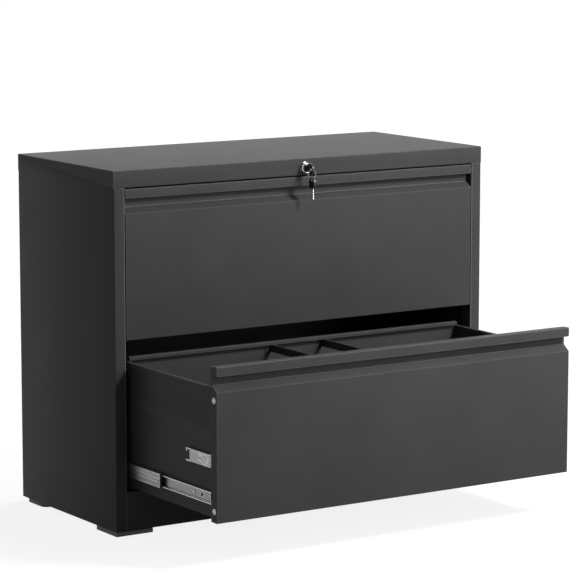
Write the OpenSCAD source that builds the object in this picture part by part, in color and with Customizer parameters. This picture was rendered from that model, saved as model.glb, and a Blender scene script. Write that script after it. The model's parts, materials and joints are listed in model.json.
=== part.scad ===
// Two-drawer lateral filing cabinet: a folded steel case, drawers with J-pull fronts on
// telescopic ball slides, and a cam lock that drives a bar and a rod.
// Millimetres, +Z up, front towards -Y. The origin lies on the floor, under the middle of
// the outline that the cabinet has with its lower drawer open.

/* [Case] */
// Width of the case
case_w = 900; // [700:10:1100]
// Depth of the case
case_d = 400; // [380:10:600]
// Thickness of the case sheet
case_sheet = 1; // [0.8:0.1:1.4]
// Outer radius of the folded edges of the case
edge_r = 2; // [1.8:0.1:3]
// Width of the front posts
post_w = 26; // [22:1:40]
// Depth of the return behind each post
post_return = 25; // [15:1:35]
// Height of the rail over the upper drawer
top_rail_h = 35; // [32:1:60]
// Height of the kick rail under the lower drawer
kick_h = 79.5; // [60:0.5:120]
// Depth of the rim round the recessed back
rim_d = 7; // [6:0.5:12]
// Width of the rim round the recessed back
rim_w = 12; // [8:1:20]
// Width of the flange that the back panel is screwed to
back_flange = 14; // [10:1:20]
// Width of the case's inward flanges
case_flange = 20; // [12:1:22]
// Radius of the swages pressed into the back panel
swage_r = 4; // [2:0.5:6]

/* [Feet] */
// Height of the feet
foot_h = 9; // [6:0.5:20]
// Length of a front foot across the cabinet
front_foot_w = 84; // [60:1:120]
// Length of a front foot from front to back
front_foot_d = 82; // [60:1:120]
// Length of a rear foot from front to back
rear_foot_d = 78; // [60:1:120]
// Width of a rear foot across the cabinet
rear_foot_w = 60; // [40:1:100]
// Distance of a rear foot from the back of the case
rear_foot_inset = 12; // [4:1:30]
// Wall of a moulded foot
foot_wall = 5; // [3:0.5:8]
// Corner radius of a rear foot
foot_r = 15; // [6:1:20]

/* [Drawer fronts] */
// Height of a drawer front
front_h = 302; // [260:1:360]
// Depth of a drawer front
front_d = 22; // [20:1:30]
// Gap over and under a drawer front
front_gap = 2.5; // [2:0.1:4]
// Gap at each side of a drawer front
side_gap = 0.7; // [0.5:0.1:2]
// Height of the pull lip
lip_h = 16; // [12:0.5:24]
// Height of the finger gap under the lip
grip_h = 16; // [14:0.5:24]
// Height of the slope under the finger gap
slope_h = 14.5; // [8:0.5:24]
// Depth of the pull channel
pull_d = 16; // [14:0.5:17]
// Radius of the lip's lower corners
lip_r = 3; // [1:0.5:5]
// Outer radius of the folded edges of a front
front_r = 1.6; // [1.3:0.1:2.5]
// Thickness of the drawer sheet
drawer_sheet = 0.9; // [0.7:0.1:1.2]

/* [Drawer boxes] */
// Height of a front's top edge over the drawer sides
side_drop = 44; // [41:1:80]
// Height of a drawer side's bottom edge above the front's
side_rise = 5; // [3:0.5:12]
// Height by which the back stands over the sides
back_rise = 9; // [4:0.5:20]
// Gap between the closed drawer's back and the back panel
rear_gap = 21; // [15:1:40]
// Width of the flanges of the drawer box
box_flange = 12; // [8:1:16]
// Height of the rolled top edge of a drawer side
bead_h = 7; // [5:0.5:10]
// Outward step of the rolled top edge and of the swage
swage_out = 1.6; // [1:0.1:2]
// Height of the long swage in a drawer side
side_swage_h = 28; // [16:1:40]
// Height of that swage above the side's bottom edge
side_swage_z = 156; // [140:1:170]
// Distance of each hanging bar from the middle
bar_x = 62; // [40:1:90]
// Height of a hanging bar
bar_h = 16; // [10:1:24]
// Thickness of a hanging bar
bar_t = 2; // [1.5:0.1:3]

/* [Slides] */
// Gap between an upright and the drawer side, filled by a slide
slide_gap = 12.7; // [12.7:0.1:13.5]
// Height of the inner member
inner_h = 23.2; // [20:0.2:30]
// Thickness of the slide steel
slide_sheet = 1.1; // [0.9:0.1:1.3]
// Distance of the slides behind the closed front
slide_setback = 20; // [12:1:40]
// Height of the slides' axis above the front's bottom edge
slide_z = 43; // [38:0.5:60]
// Travel past the slides' own length
over_travel = 10; // [0:1:15]
// Share of the drawer's travel that the middle members make
mid_share = 0.43; // [0.4:0.01:0.5]
// Gap between the flanges that hold the outer balls
outer_race = 2.5; // [2.3:0.1:3.5]
// Gap between the flanges that hold the inner balls
inner_race = 1.6; // [1.4:0.1:2]
// Clearance round a ball
ball_gap = 0.3; // [0.2:0.05:0.35]
// Length of a ball cage
cage_len = 110; // [60:5:130]
// Thickness of a ball cage
cage_t = 0.6; // [0.4:0.1:0.8]
// Balls in each strip of a cage
cage_balls = 6; // [2:1:8]
// Length of the stop that caps each middle member
stop_len = 5; // [3:0.5:8]

/* [Uprights] */
// Width of an upright
upright_w = 66; // [50:1:90]
// Width of an upright's foot flanges
upright_flange = 12; // [8:1:16]
// Distance of the front uprights behind the case front
front_upright_y = 66; // [56:1:80]
// Distance of the rear uprights from the back panel
rear_upright_gap = 40; // [30:1:80]

/* [Screws] */
// Head diameter of the screws
head_d = 8; // [6:0.5:9]
// Head height of the screws
head_h = 1.8; // [1.2:0.1:2.2]
// Height by which the heads of the sunk screws stand out of a drawer front's sides
sunk_h = 0.4; // [0.2:0.05:0.4]
// Shank diameter of the screws
shank_d = 4; // [3:0.1:5]
// Clearance round a shank
shank_gap = 0.15; // [0.1:0.05:0.3]

/* [Lock] */
// Height of the lock's axis under the top of the case
lock_drop = 20; // [19:0.5:22]
// Outer diameter of the lock's bezel
bezel_d = 25; // [22:0.5:28]
// How far the bezel stands out of the rail
bezel_out = 8; // [4:0.5:10]
// Diameter of the lock's barrel
barrel_d = 19; // [17:0.5:22]
// Length of the barrel behind the rail
barrel_len = 26; // [20:1:32]
// Diameter of the turning core
core_d = 12; // [10:0.5:14]
// Clearance round the turning core
core_gap = 0.3; // [0.2:0.05:0.4]
// Radius of the crank pin's path
crank_r = 8; // [6:0.5:9]
// Diameter of the crank pin, the rod's stud and its bolts
pin_d = 5; // [4:0.5:6]
// Clearance round a pin in its slot
pin_gap = 0.4; // [0.35:0.05:0.6]
// Rise of the slanted slot for each millimetre of the bar's travel
slot_rise = 0.75; // [0.6:0.05:0.9]
// Thickness of the lock bar
lock_bar_t = 1.5; // [1:0.1:2]
// Thickness of the lock rod
rod_t = 3; // [2:0.5:4]
// Width of the lock rod
rod_w = 10; // [8:0.5:12]
// Running gap round the lock rod and the lock bar in their guides
guide_gap = 0.4; // [0.3:0.05:0.6]
// Width of the flanges that hold those guides
guide_flange = 8; // [6:0.5:10]
// Length of each of those guides
guide_len = 20; // [12:1:30]
// Width of the lock bar
lock_bar_w = 16; // [12:0.5:20]

/* [Cam plate] */
// Height of the plate that the lock rod's bolt enters above the front's bottom edge
cam_z = 98; // [90:1:105]
// Thickness of that plate's rims
cam_rim = 4; // [3:0.5:5]
// How far the plate's rims stand off the drawer side
cam_out = 5.4; // [4:0.2:7]

/* [Key] */
// Diameter of the key's bow
bow_d = 22; // [18:0.5:26]
// Thickness of the key's bow
bow_t = 4.5; // [4:0.5:6]
// Diameter of the hole in the bow
bow_hole = 7; // [5:0.5:8]
// Length of the key's blade
blade_len = 21; // [18:0.5:30]
// Height of the key's blade
blade_h = 7; // [5:0.5:8]
// Thickness of the key's blade
blade_t = 2; // [1.6:0.1:2.4]

/* [Hidden] */
$fn = 48;
bend_steps = 4;
seam = 0.2;
touch = 0.15;
LOWER = 0;
UPPER = 1;
RIGHT = 1;
LEFT = -1;

// Levels of the case
kick_z = foot_h + kick_h;
front_z = [kick_z + front_gap, kick_z + 2 * front_gap + front_h];
rail_z = front_z[UPPER] + front_h + front_gap;
case_h = rail_z + top_rail_h;
floor_z = kick_z - case_sheet;
half_w = case_w / 2;
wall_x = half_w - case_sheet;
opening_x = half_w - post_w;
back_y = case_d - rim_d;
rim_x = half_w - rim_w;

// Drawer
front_x = opening_x - side_gap;
box_x = opening_x - slide_gap;
box_rear = back_y - case_sheet - rear_gap;
box_len = box_rear - front_d;
box_in = box_x - drawer_sheet;
lip_z = front_h - lip_h;
face_h = lip_z - grip_h - slope_h;
side_top = front_h - side_drop;
back_top = side_top + back_rise;
bottom_z = side_rise + drawer_sheet;

// Slides
slide_y = front_d + slide_setback;
slide_len = box_rear - slide_y;
travel = slide_len + over_travel;
drawer_out = [travel, 0];
dip_in = 0.7;
bulge = 0.4;
dip_out = 0.6;
groove = 0.2;
mid_h = inner_h + 2 * inner_race + 2 * slide_sheet;
outer_h = mid_h + 2 * outer_race + 2 * slide_sheet;
inner_ball_d = inner_race + dip_in + bulge - 2 * ball_gap;
outer_ball_d = outer_race + dip_out + groove - 2 * ball_gap;
outer_ball_u = slide_gap * 0.46;
inner_ball_u = slide_gap * 0.72;
mid_web_u = slide_sheet + 1.3;
outer_race_w = 3.4;
inner_race_w = 3;
strip_w = 4.4;
rear_upright_y = back_y - rear_upright_gap - upright_w;
slide_screw_y = [front_upright_y + case_sheet + head_d + 10, rear_upright_y + upright_w / 2];

// Lock
lock_z = case_h - lock_drop;
bar_travel = 2 * crank_r * sin(45);
rod_lift = bar_travel * slot_rise;
cam_y = barrel_len + 4;
crank_x = crank_r * sin(45);
crank_z = lock_z - crank_r * cos(45);
flange_y = cam_y + 5;
rod_x = opening_x + 5;
rod_y = front_upright_y + upright_w - 2 * case_sheet - guide_flange - guide_gap - rod_w / 2 - seam;
rod_front = rod_y - rod_w / 2;
stud_z = rail_z + pin_d / 2 + pin_gap + 3.1;
bolt_z = cam_z + cam_rim + pin_d / 2 + 3.5;
rod_top = stud_z + pin_d / 2 + 3;
bar_z = rod_top + rod_lift + 2.5;
rod_bottom = front_z[LOWER] + bolt_z - 14;
bolt_tip = box_x + drawer_sheet + 1.4;
ear_x = rod_x + rod_t / 2 + pin_d / 2 + 3.5;
bow_y = -bezel_out - 1.5 - bow_d / 2;
hole_y = bow_y - bow_d / 2 + bow_hole / 2 + 2;

// ---------------------------------------------------------------- shared forms

// Direction of a path's segment, and the sheet's outline from the path of its outer face.
function along(p, i) = (p[i + 1] - p[i]) / norm(p[i + 1] - p[i]);
function left_of(v) = [-v[1], v[0]];
function moved(p, i, t) =
    let(a = left_of(along(p, max(i - 1, 0))), b = left_of(along(p, min(i, len(p) - 2))))
    p[i] + t * (a + b) / (1 + a * b);
function folded(p, t) = concat(p, [for (i = [len(p) - 1:-1:0]) moved(p, i, t)]);

// Path with every inner corner turned into an arc of radius r.
function bend(a, b, c, r) =
    let(u = (a - b) / norm(a - b), v = (c - b) / norm(c - b), half = acos(u * v) / 2,
        centre = b + (u + v) / norm(u + v) * r / sin(half),
        s = b + u * r / tan(half) - centre, e = b + v * r / tan(half) - centre,
        from = atan2(s[1], s[0]), sweep = (atan2(e[1], e[0]) - from + 540) % 360 - 180)
    [for (k = [0:bend_steps]) centre + r * [cos(from + sweep * k / bend_steps),
                                            sin(from + sweep * k / bend_steps)]];
function rounded(p, r) = concat([p[0]],
    [for (i = [1:len(p) - 2]) each bend(p[i - 1], p[i], p[i + 1], r)], [p[len(p) - 1]]);

// Points of a shallow groove, half a sine wave deep, along a line of constant v.
function dip(u, v, w, depth) =
    [for (k = [0:6]) [u - w / 2 + w * k / 6, v - depth * sin(30 * k)]];

module place() translate([0, (max(drawer_out) - case_d) / 2, 0]) children();
module side(s) mirror([s < 0 ? 1 : 0, 0, 0]) children();
module both_sides() {
    side(RIGHT) children();
    side(LEFT) children();
}
module along_x(x0, x1) translate([x0, 0, 0]) rotate([90, 0, 90]) linear_extrude(x1 - x0) children();
module along_y(y0, y1) translate([0, y1, 0]) rotate([90, 0, 0]) linear_extrude(y1 - y0) children();
module along_z(z0, z1) translate([0, 0, z0]) linear_extrude(z1 - z0) children();
module block(a, b) translate(a) cube(b - a);
module rod_along_x(d, x0, x1, y, z) translate([x0, y, z]) rotate([0, 90, 0]) cylinder(d = d, h = x1 - x0);
module rod_along_y(d, y0, y1, x, z) translate([x, y1, z]) rotate([90, 0, 0]) cylinder(d = d, h = y1 - y0);

// Cross-head screw along +Z from the face at z = 0: the head stands up, the shank goes down.
module screw(grip, h) {
    difference() {
        union() {
            cylinder(d = head_d, h = h / 2);
            translate([0, 0, h / 2]) cylinder(d1 = head_d, d2 = head_d - 2 * h, h = h / 2);
        }
        for (a = [0, 90]) rotate(a)
            translate([-head_d / 4, -head_d / 16, h / 2]) cube([head_d / 2, head_d / 8, h]);
    }
    translate([0, 0, -grip]) cylinder(d = shank_d, h = grip);
}
// The same screws turned to stand on a face that looks towards +X or +Y.
module screw_x(p, grip, h = head_h) translate(p) rotate([0, 90, 0]) screw(grip, h);
module screw_y(p, grip) translate(p) rotate([-90, 0, 0]) screw(grip, head_h);
module hole_x(p, reach) rod_along_x(shank_d + 2 * shank_gap, p[0] - reach, p[0] + reach, p[1], p[2]);
module hole_y(p, reach) rod_along_y(shank_d + 2 * shank_gap, p[1] - reach, p[1] + reach, p[0], p[2]);

// ---------------------------------------------------------------- case

rear_path = [[rim_x - back_flange, back_y], [rim_x, back_y], [rim_x, case_d], [half_w, case_d]];
post_path = [[half_w, 0], [opening_x, 0], [opening_x, post_return],
    [opening_x + post_w / 2, post_return]];
back_screws = [for (share = [0.07, 0.34, 0.66, 0.92])
    [rim_x - back_flange / 2, back_y + case_sheet, case_h * share]];

module side_panel(s) {
    color("#333436") place() side(s) difference() {
        union() {
            along_z(foot_h, rail_z)
                polygon(folded(rounded(concat(rear_path, post_path), edge_r), -case_sheet));
            along_z(rail_z, case_h - case_sheet)
                polygon(folded(concat(rounded(rear_path, edge_r), [[half_w, case_sheet + seam]]),
                    -case_sheet));
            block([wall_x - case_flange, case_sheet, foot_h],
                [wall_x + case_sheet / 2, back_y - case_sheet, foot_h + case_sheet]);
            block([wall_x - case_flange, post_return, case_h - 2 * case_sheet],
                [wall_x + case_sheet / 2, back_y - case_sheet, case_h - case_sheet]);
        }
        for (p = back_screws) hole_y(p, 2 * case_sheet + seam);
    }
}
module left_side_panel() side_panel(LEFT);
module right_side_panel() side_panel(RIGHT);

module top_panel() {
    color("#3a3b3d") place() difference() {
        union() {
            along_x(-half_w, half_w)
                polygon(folded(rounded([[case_flange, rail_z], [0, rail_z], [0, case_h],
                    [case_d, case_h]], edge_r), -case_sheet));
            block([-rim_x + seam, case_d - case_sheet, case_h - case_flange],
                [rim_x - seam, case_d, case_h - case_sheet / 2]);
        }
        rod_along_y(barrel_d + 2 * touch, -1, 2 * case_sheet, 0, lock_z);
        both_sides() block([wall_x - seam, case_sheet, rail_z - 1],
            [half_w + 1, case_flange + 1, rail_z + edge_r]);
    }
}

module back_panel() {
    color("#2c2d2f") place() {
        difference() {
            block([edge_r - rim_x, back_y, foot_h + case_sheet],
                [rim_x - edge_r, back_y + case_sheet, case_h - case_sheet]);
            both_sides() for (p = back_screws) hole_y(p, 2 * case_sheet + seam);
        }
        both_sides() for (x = [rim_x * 0.3, rim_x * 0.72])
            translate([x, back_y + case_sheet, 0]) along_z(kick_z, rail_z)
                intersection() {
                    translate([0, -swage_r / 2]) circle(r = swage_r);
                    translate([-swage_r, 0]) square([2 * swage_r, swage_r]);
                }
    }
}

module base_panel() {
    color("#242527") place() {
        block([-opening_x + seam, edge_r + seam, floor_z - case_sheet],
            [opening_x - seam, post_return + seam, floor_z]);
        block([-wall_x, post_return + seam, floor_z - case_sheet],
            [wall_x, back_y - case_sheet, floor_z]);
        both_sides() block([wall_x - case_sheet, post_return + seam, floor_z - case_flange],
            [wall_x, back_y - case_sheet, floor_z - case_sheet]);
        block([-wall_x + case_sheet, back_y - 2 * case_sheet, floor_z - case_flange],
            [wall_x - case_sheet, back_y - case_sheet, floor_z - case_sheet]);
    }
}

module kick_rail() {
    color("#2b2c2e") place() along_x(-opening_x + seam, opening_x - seam)
        polygon(folded(rounded([[case_flange, foot_h], [0, foot_h], [0, kick_z],
            [case_flange, kick_z]], edge_r), -case_sheet));
}

module upright(y) {
    x0 = wall_x - case_sheet;
    along_z(floor_z, rail_z - 10)
        polygon(folded([[x0, y - upright_flange], [x0, y], [opening_x, y],
            [opening_x, y + upright_w], [x0, y + upright_w],
            [x0, y + upright_w + upright_flange]], -case_sheet));
}
module uprights() {
    color("#2a2b2d") place() both_sides() difference() {
        union() {
            upright(front_upright_y);
            upright(rear_upright_y);
        }
        for (z = front_z) {
            block([opening_x - 1, rod_y - pin_d / 2 - 1, z + bolt_z - pin_d / 2 - 1],
                [opening_x + 2 * case_sheet, rod_y + pin_d / 2 + 1,
                    z + bolt_z + rod_lift + pin_d / 2 + 1]);
            for (y = slide_screw_y) hole_x([opening_x, y, z + slide_z], 2 * case_sheet);
        }
    }
}

// Hollow pad, drawn as an outline that is open towards the floor inside its wall.
module front_feet() {
    color("#1b1b1c") place() both_sides() difference() {
        block([half_w - front_foot_w, 0, 0], [half_w, front_foot_d, foot_h]);
        block([half_w - front_foot_w + foot_wall, foot_wall, -1],
            [half_w - foot_wall, front_foot_d - foot_wall, foot_h - foot_wall / 2]);
    }
}
module rear_feet() {
    x1 = half_w - foot_wall / 2;
    x0 = x1 - rear_foot_w;
    y1 = case_d - rear_foot_inset;
    y0 = y1 - rear_foot_d;
    color("#1b1b1c") place() both_sides() difference() {
        union() {
            block([x0 + foot_r, y0, 0], [x1 - foot_r, y1, foot_h]);
            block([x0, y0 + foot_r, 0], [x1, y1 - foot_r, foot_h]);
            for (x = [x0 + foot_r, x1 - foot_r], y = [y0 + foot_r, y1 - foot_r])
                translate([x, y, 0]) cylinder(r = foot_r, h = foot_h);
        }
        block([x0 + foot_wall, y0 + foot_r, -1],
            [x1 - foot_wall, y1 - foot_r, foot_h - foot_wall / 2]);
    }
}

module case_screws() {
    color("silver") place() both_sides() {
        for (p = back_screws) screw_y(p, 2 * case_sheet);
        for (z = front_z, y = slide_screw_y)
            screw_x([opening_x + case_sheet, y, z + slide_z], slide_sheet + case_sheet);
    }
}

// ---------------------------------------------------------------- drawers

module at_drawer(level, share = 1)
    place() translate([0, -drawer_out[level] * share, front_z[level]]) children();

side_screws = [for (z = [side_rise + 17, face_h - 19]) [front_x, front_d / 2, z]];
inner_screw_y = [slide_y + 60, slide_y + slide_len - 60];
cam_y0 = slide_y;
cam_y1 = rod_y + pin_d / 2 + 2.5 + cam_rim;
cam_h = 2 * cam_rim + 7.5 + pin_d + rod_lift;
cam_screws = [for (y = [cam_y0 + 8.5, cam_y1 - 22]) [box_x + 1, y, cam_z + cam_h / 2]];

// Front skin: face, slope, pull channel and lip folded from one sheet, with closed ends.
module drawer_front(level) {
    t = drawer_sheet;
    color("#3d3e40") at_drawer(level) difference() {
        union() {
            along_x(-front_x, front_x) polygon(folded(concat([[box_flange, 0]],
                bend([box_flange, 0], [0, 0], [0, face_h], front_r),
                bend([0, 0], [0, face_h], [pull_d, face_h + slope_h], front_r),
                [[pull_d, face_h + slope_h]],
                bend([pull_d, lip_z], [pull_d, front_h - t], [t, front_h - t], front_r),
                bend([pull_d, front_h - t], [t, front_h - t], [t, lip_z], front_r),
                [[t, lip_z + t], [t + 4, lip_z + t]]), -t));
            both_sides() {
                along_x(front_x - t, front_x) polygon([[0.2, 0.2], [front_d, 0.2],
                    [front_d, front_h - front_r], [pull_d, front_h - front_r],
                    [pull_d, face_h + slope_h], [0.2, face_h]]);
                block([front_x - t, 0.4, lip_z + 0.2], [front_x, pull_d, front_h - 0.4]);
            }
        }
        both_sides() {
            difference() {
                block([front_x - lip_r, -1, lip_z - 1], [front_x + 1, pull_d - 1, lip_z + lip_r]);
                rod_along_y(2 * lip_r, -2, pull_d, front_x - lip_r, lip_z + lip_r);
            }
            for (p = side_screws) hole_x(p, 2 * t);
        }
    }
}

module drawer_liner(level) {
    t = drawer_sheet;
    x1 = front_x - t - touch;
    z1 = front_h - t - touch;
    color("#2f3032") at_drawer(level) difference() {
        union() {
            block([-x1, front_d - t, t + touch], [x1, front_d, z1]);
            block([-x1, pull_d + t + touch, z1 - t], [x1, front_d, z1]);
            block([-x1, box_flange + seam, t + touch], [x1, front_d, 2 * t + touch]);
            both_sides() block([x1 - t, t + 2, t + touch], [x1, front_d, face_h - 6]);
        }
        both_sides() for (p = side_screws) hole_x(p, 4 * t);
    }
}

// Drawer side: bottom flange, wall with a long swage, rolled top edge.
module drawer_side(level, s) {
    t = drawer_sheet;
    z0 = side_rise;
    z1 = side_rise + side_swage_z;
    z2 = z1 + side_swage_h;
    step = 2 * swage_out;
    path = [[box_x - box_flange, z0], [box_x, z0], [box_x, z1], [box_x + swage_out, z1 + step],
        [box_x + swage_out, z2 - step], [box_x, z2], [box_x, side_top - bead_h - swage_out],
        [box_x + swage_out, side_top - bead_h], [box_x + swage_out, side_top],
        [box_x - box_flange / 2, side_top], [box_x - box_flange / 2, side_top - bead_h]];
    color("#2d2e30") at_drawer(level) side(s) difference() {
        union() {
            along_y(front_d, box_rear) polygon(folded(path, t));
            block([box_x - box_flange, front_d, z0 + t],
                [box_x, front_d + t, side_top - bead_h]);
        }
        for (y = inner_screw_y) hole_x([box_x, y, slide_z], 2 * t);
        if (s == LEFT) for (p = cam_screws) hole_x(p, 4 * t);
    }
}

module drawer_back(level) {
    t = drawer_sheet;
    x1 = box_in - touch;
    x2 = box_x - box_flange / 2 - touch;
    color("#323335") at_drawer(level) {
        block([-x1, box_rear - t, bottom_z + t + touch],
            [x1, box_rear, side_top - bead_h - swage_out - touch]);
        block([-x2, box_rear - t, side_top - bead_h - 2 * swage_out], [x2, box_rear, back_top]);
        block([-x2, box_rear - box_flange, back_top - t], [x2, box_rear - t, back_top]);
        block([-x2, box_rear - box_flange, back_top - bead_h],
            [x2, box_rear - box_flange + t, back_top - t]);
        both_sides() block([x1 - t, box_rear - box_flange, bottom_z + t + touch],
            [x1, box_rear - t, side_top - bead_h - swage_out - touch]);
    }
}

// Bottom with three ribs pressed up across the drawer.
module drawer_bottom(level) {
    t = drawer_sheet;
    y0 = front_d + t + touch;
    y1 = box_rear - touch;
    z = bottom_z;
    ribs = [for (k = [1:3]) y0 + (y1 - y0) * k / 4];
    color("#2b2c2e") at_drawer(level) along_x(-box_in + touch, box_in - touch)
        polygon(folded(concat([[y0, z]],
            [for (y = ribs) each [[y - 10, z], [y - 7, z + 2], [y + 7, z + 2], [y + 10, z]]],
            [[y1, z]]), t));
}

// Flat bars from the front to the back that hanging folders rest on, with bent ends.
module hanging_bars(level) {
    z1 = back_top - bead_h - touch;
    y1 = box_rear - drawer_sheet;
    color("#27282a") at_drawer(level) both_sides() {
        block([bar_x, front_d, z1 - bar_h], [bar_x + bar_t, y1, z1]);
        for (y = [front_d, y1 - bar_t])
            block([bar_x + bar_t, y, z1 - bar_h], [bar_x + bar_t + box_flange, y + bar_t, z1]);
    }
}

// Stamped plate whose open rear end takes the rod's bolt; the hook on its upper prong
// holds the bolt once the rod is lifted.
module cam_plate(level) {
    x1 = box_x + cam_out;
    hook_z = cam_z + cam_h - cam_rim;
    color("#b9bbbd") at_drawer(level) side(LEFT) difference() {
        union() {
            block([box_x, cam_y0, cam_z], [box_x + 1, cam_y1 - 14, cam_z + cam_h]);
            block([box_x, cam_y0, cam_z], [x1, cam_y1, cam_z + cam_rim]);
            block([box_x, cam_y0, hook_z], [x1, cam_y1, cam_z + cam_h]);
            block([box_x, cam_y0, cam_z], [x1, cam_y0 + 2, cam_z + cam_h]);
            block([box_x, cam_y0 + 15, cam_z + 1], [x1, cam_y0 + 17, hook_z + 1]);
            block([box_x, cam_y1 - cam_rim, bolt_z + rod_lift / 2 + pin_d / 4],
                [x1, cam_y1, hook_z + 1]);
            along_x(box_x, x1) polygon([[cam_y0 + 20, hook_z + 1], [cam_y0 + 22, hook_z + 1],
                [cam_y1 - 28, cam_z + cam_rim - 1], [cam_y1 - 30, cam_z + cam_rim - 1]]);
        }
        for (p = cam_screws) hole_x(p, cam_out);
    }
}

module drawer_screws(level) {
    t = drawer_sheet;
    color("silver") at_drawer(level) {
        both_sides() {
            for (p = side_screws) screw_x(p, 2 * t + touch, sunk_h);
            for (y = inner_screw_y)
                screw_x([box_x + slide_sheet, y, slide_z], slide_sheet + t);
        }
        side(LEFT) for (p = cam_screws) screw_x(p, 1 + t);
    }
}

// ---------------------------------------------------------------- slides

// u runs from the upright to the drawer side, v upwards from the slide's axis.
function mirrored(half) = concat([for (i = [len(half) - 1:-1:0]) half[i]],
    [for (p = half) [p[0], -p[1]]]);
outer_half = concat([[0, 3], [0, outer_h / 2 - 1], [1, outer_h / 2]],
    dip(outer_ball_u, outer_h / 2, outer_race_w, -groove), [[slide_gap * 0.8, outer_h / 2]]);
mid_half = concat([[mid_web_u, 2], [mid_web_u - 0.6, 3.5], [mid_web_u, 5],
    [mid_web_u, mid_h / 2 - 0.8], [mid_web_u + 0.8, mid_h / 2]],
    dip(outer_ball_u, mid_h / 2, outer_race_w, dip_out),
    dip(inner_ball_u, mid_h / 2, inner_race_w, -bulge), [[slide_gap * 0.87, mid_h / 2]]);
inner_half = concat([[slide_gap, 3], [slide_gap, inner_h / 2 - 1], [slide_gap - 1, inner_h / 2]],
    [for (p = dip(inner_ball_u, inner_h / 2, inner_race_w, dip_in)) [2 * inner_ball_u - p[0], p[1]]],
    [[slide_gap * 0.5, inner_h / 2]]);

module in_slide(level, s) side(s) translate([opening_x, 0, slide_z]) mirror([1, 0, 0]) children();
module slide_profile(half, t) polygon(folded(mirrored(half), t));

module outer_slide(level, s) {
    color("#a9abad") at_drawer(level, 0) in_slide(level, s) difference() {
        along_y(slide_y, slide_y + slide_len) slide_profile(outer_half, slide_sheet);
        for (y = slide_screw_y) hole_x([0, y, 0], 2 * slide_sheet);
    }
}
module mid_slide(level, s) {
    color("#b4b6b8") at_drawer(level, mid_share) in_slide(level, s)
        along_y(slide_y, slide_y + slide_len) slide_profile(mid_half, slide_sheet);
}
module inner_slide(level, s) {
    color("#c3c5c7") at_drawer(level) in_slide(level, s) difference() {
        along_y(slide_y, slide_y + slide_len) slide_profile(inner_half, -slide_sheet);
        for (y = inner_screw_y) hole_x([slide_gap, y, 0], 2 * slide_sheet);
        block([slide_gap - 2 * slide_sheet, slide_y + 31, -2], [slide_gap + 1, slide_y + 35, 3]);
    }
}
// Black stops that cap the front ends of the middle members.
module slide_stops(level) {
    color("#151515") at_drawer(level, mid_share) both_sides() in_slide(level, RIGHT) {
        block([mid_web_u, slide_y - stop_len / 2, -mid_h / 2 + 1],
            [slide_gap * 0.47, slide_y, mid_h / 2 - 1]);
        block([mid_web_u + slide_sheet + touch, slide_y, -inner_h / 2 + 2],
            [slide_gap * 0.47, slide_y + stop_len, inner_h / 2 - 2]);
    }
}
// Cage strips over and under the slide's axis, with their balls.
module ball_cages(level, share, u, ball_d, ball_v) {
    y0 = slide_y + (slide_len - cage_len) / 2;
    pitch = cage_len / cage_balls;
    spots = [for (k = [0:cage_balls - 1]) y0 + pitch * (k + 0.5)];
    color("#8f9294") at_drawer(level, share) both_sides() in_slide(level, RIGHT)
        for (v = [-ball_v, ball_v]) {
            difference() {
                block([u - strip_w / 2, y0, v - cage_t / 2], [u + strip_w / 2, y0 + cage_len, v + cage_t / 2]);
                for (y = spots) translate([u, y, v - cage_t]) cylinder(d = ball_d + 2 * touch, h = 2 * cage_t);
            }
            for (y = spots) translate([u, y, v]) sphere(d = ball_d);
        }
}
module outer_cages(level) ball_cages(level, mid_share / 2, outer_ball_u, outer_ball_d,
    mid_h / 2 - dip_out + (outer_race + dip_out + groove) / 2);
module inner_cages(level) ball_cages(level, (1 + mid_share) / 2, inner_ball_u, inner_ball_d,
    inner_h / 2 - dip_in + (inner_race + dip_in + bulge) / 2);

// ---------------------------------------------------------------- lock

module lock_body() {
    color("#d0d2d4") place() translate([0, -bezel_out, lock_z]) rotate([-90, 0, 0])
        rotate_extrude() polygon([[core_d / 2, 0], [bezel_d / 2 - 3, 0], [bezel_d / 2 - 1.4, 0.8],
            [bezel_d / 2 - 0.6, 2.4], [bezel_d / 2, bezel_out], [barrel_d / 2, bezel_out],
            [barrel_d / 2, bezel_out + barrel_len], [core_d / 2, bezel_out + barrel_len]]);
}
module lock_nut() {
    color("#9a9c9e") place() difference() {
        translate([0, case_sheet + 4, lock_z]) rotate([90, 0, 0]) cylinder(d = barrel_d + 7, h = 4, $fn = 6);
        rod_along_y(barrel_d + 2 * touch, 0, case_sheet + 5, 0, lock_z);
    }
}
module lock_core() {
    tail = core_d * 0.5;
    color("#c8cacc") place() difference() {
        union() {
            rod_along_y(core_d - 2 * core_gap, -bezel_out - 0.5, cam_y, 0, lock_z);
            block([-tail / 2, cam_y, lock_z - tail / 2], [tail / 2, cam_y + 4, lock_z + tail / 2]);
        }
        block([-blade_t / 2 - touch, -bezel_out - 1, lock_z - blade_h / 2 - touch],
            [blade_t / 2 + touch, -bezel_out + blade_len, lock_z + blade_h / 2 + touch]);
    }
}
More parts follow.
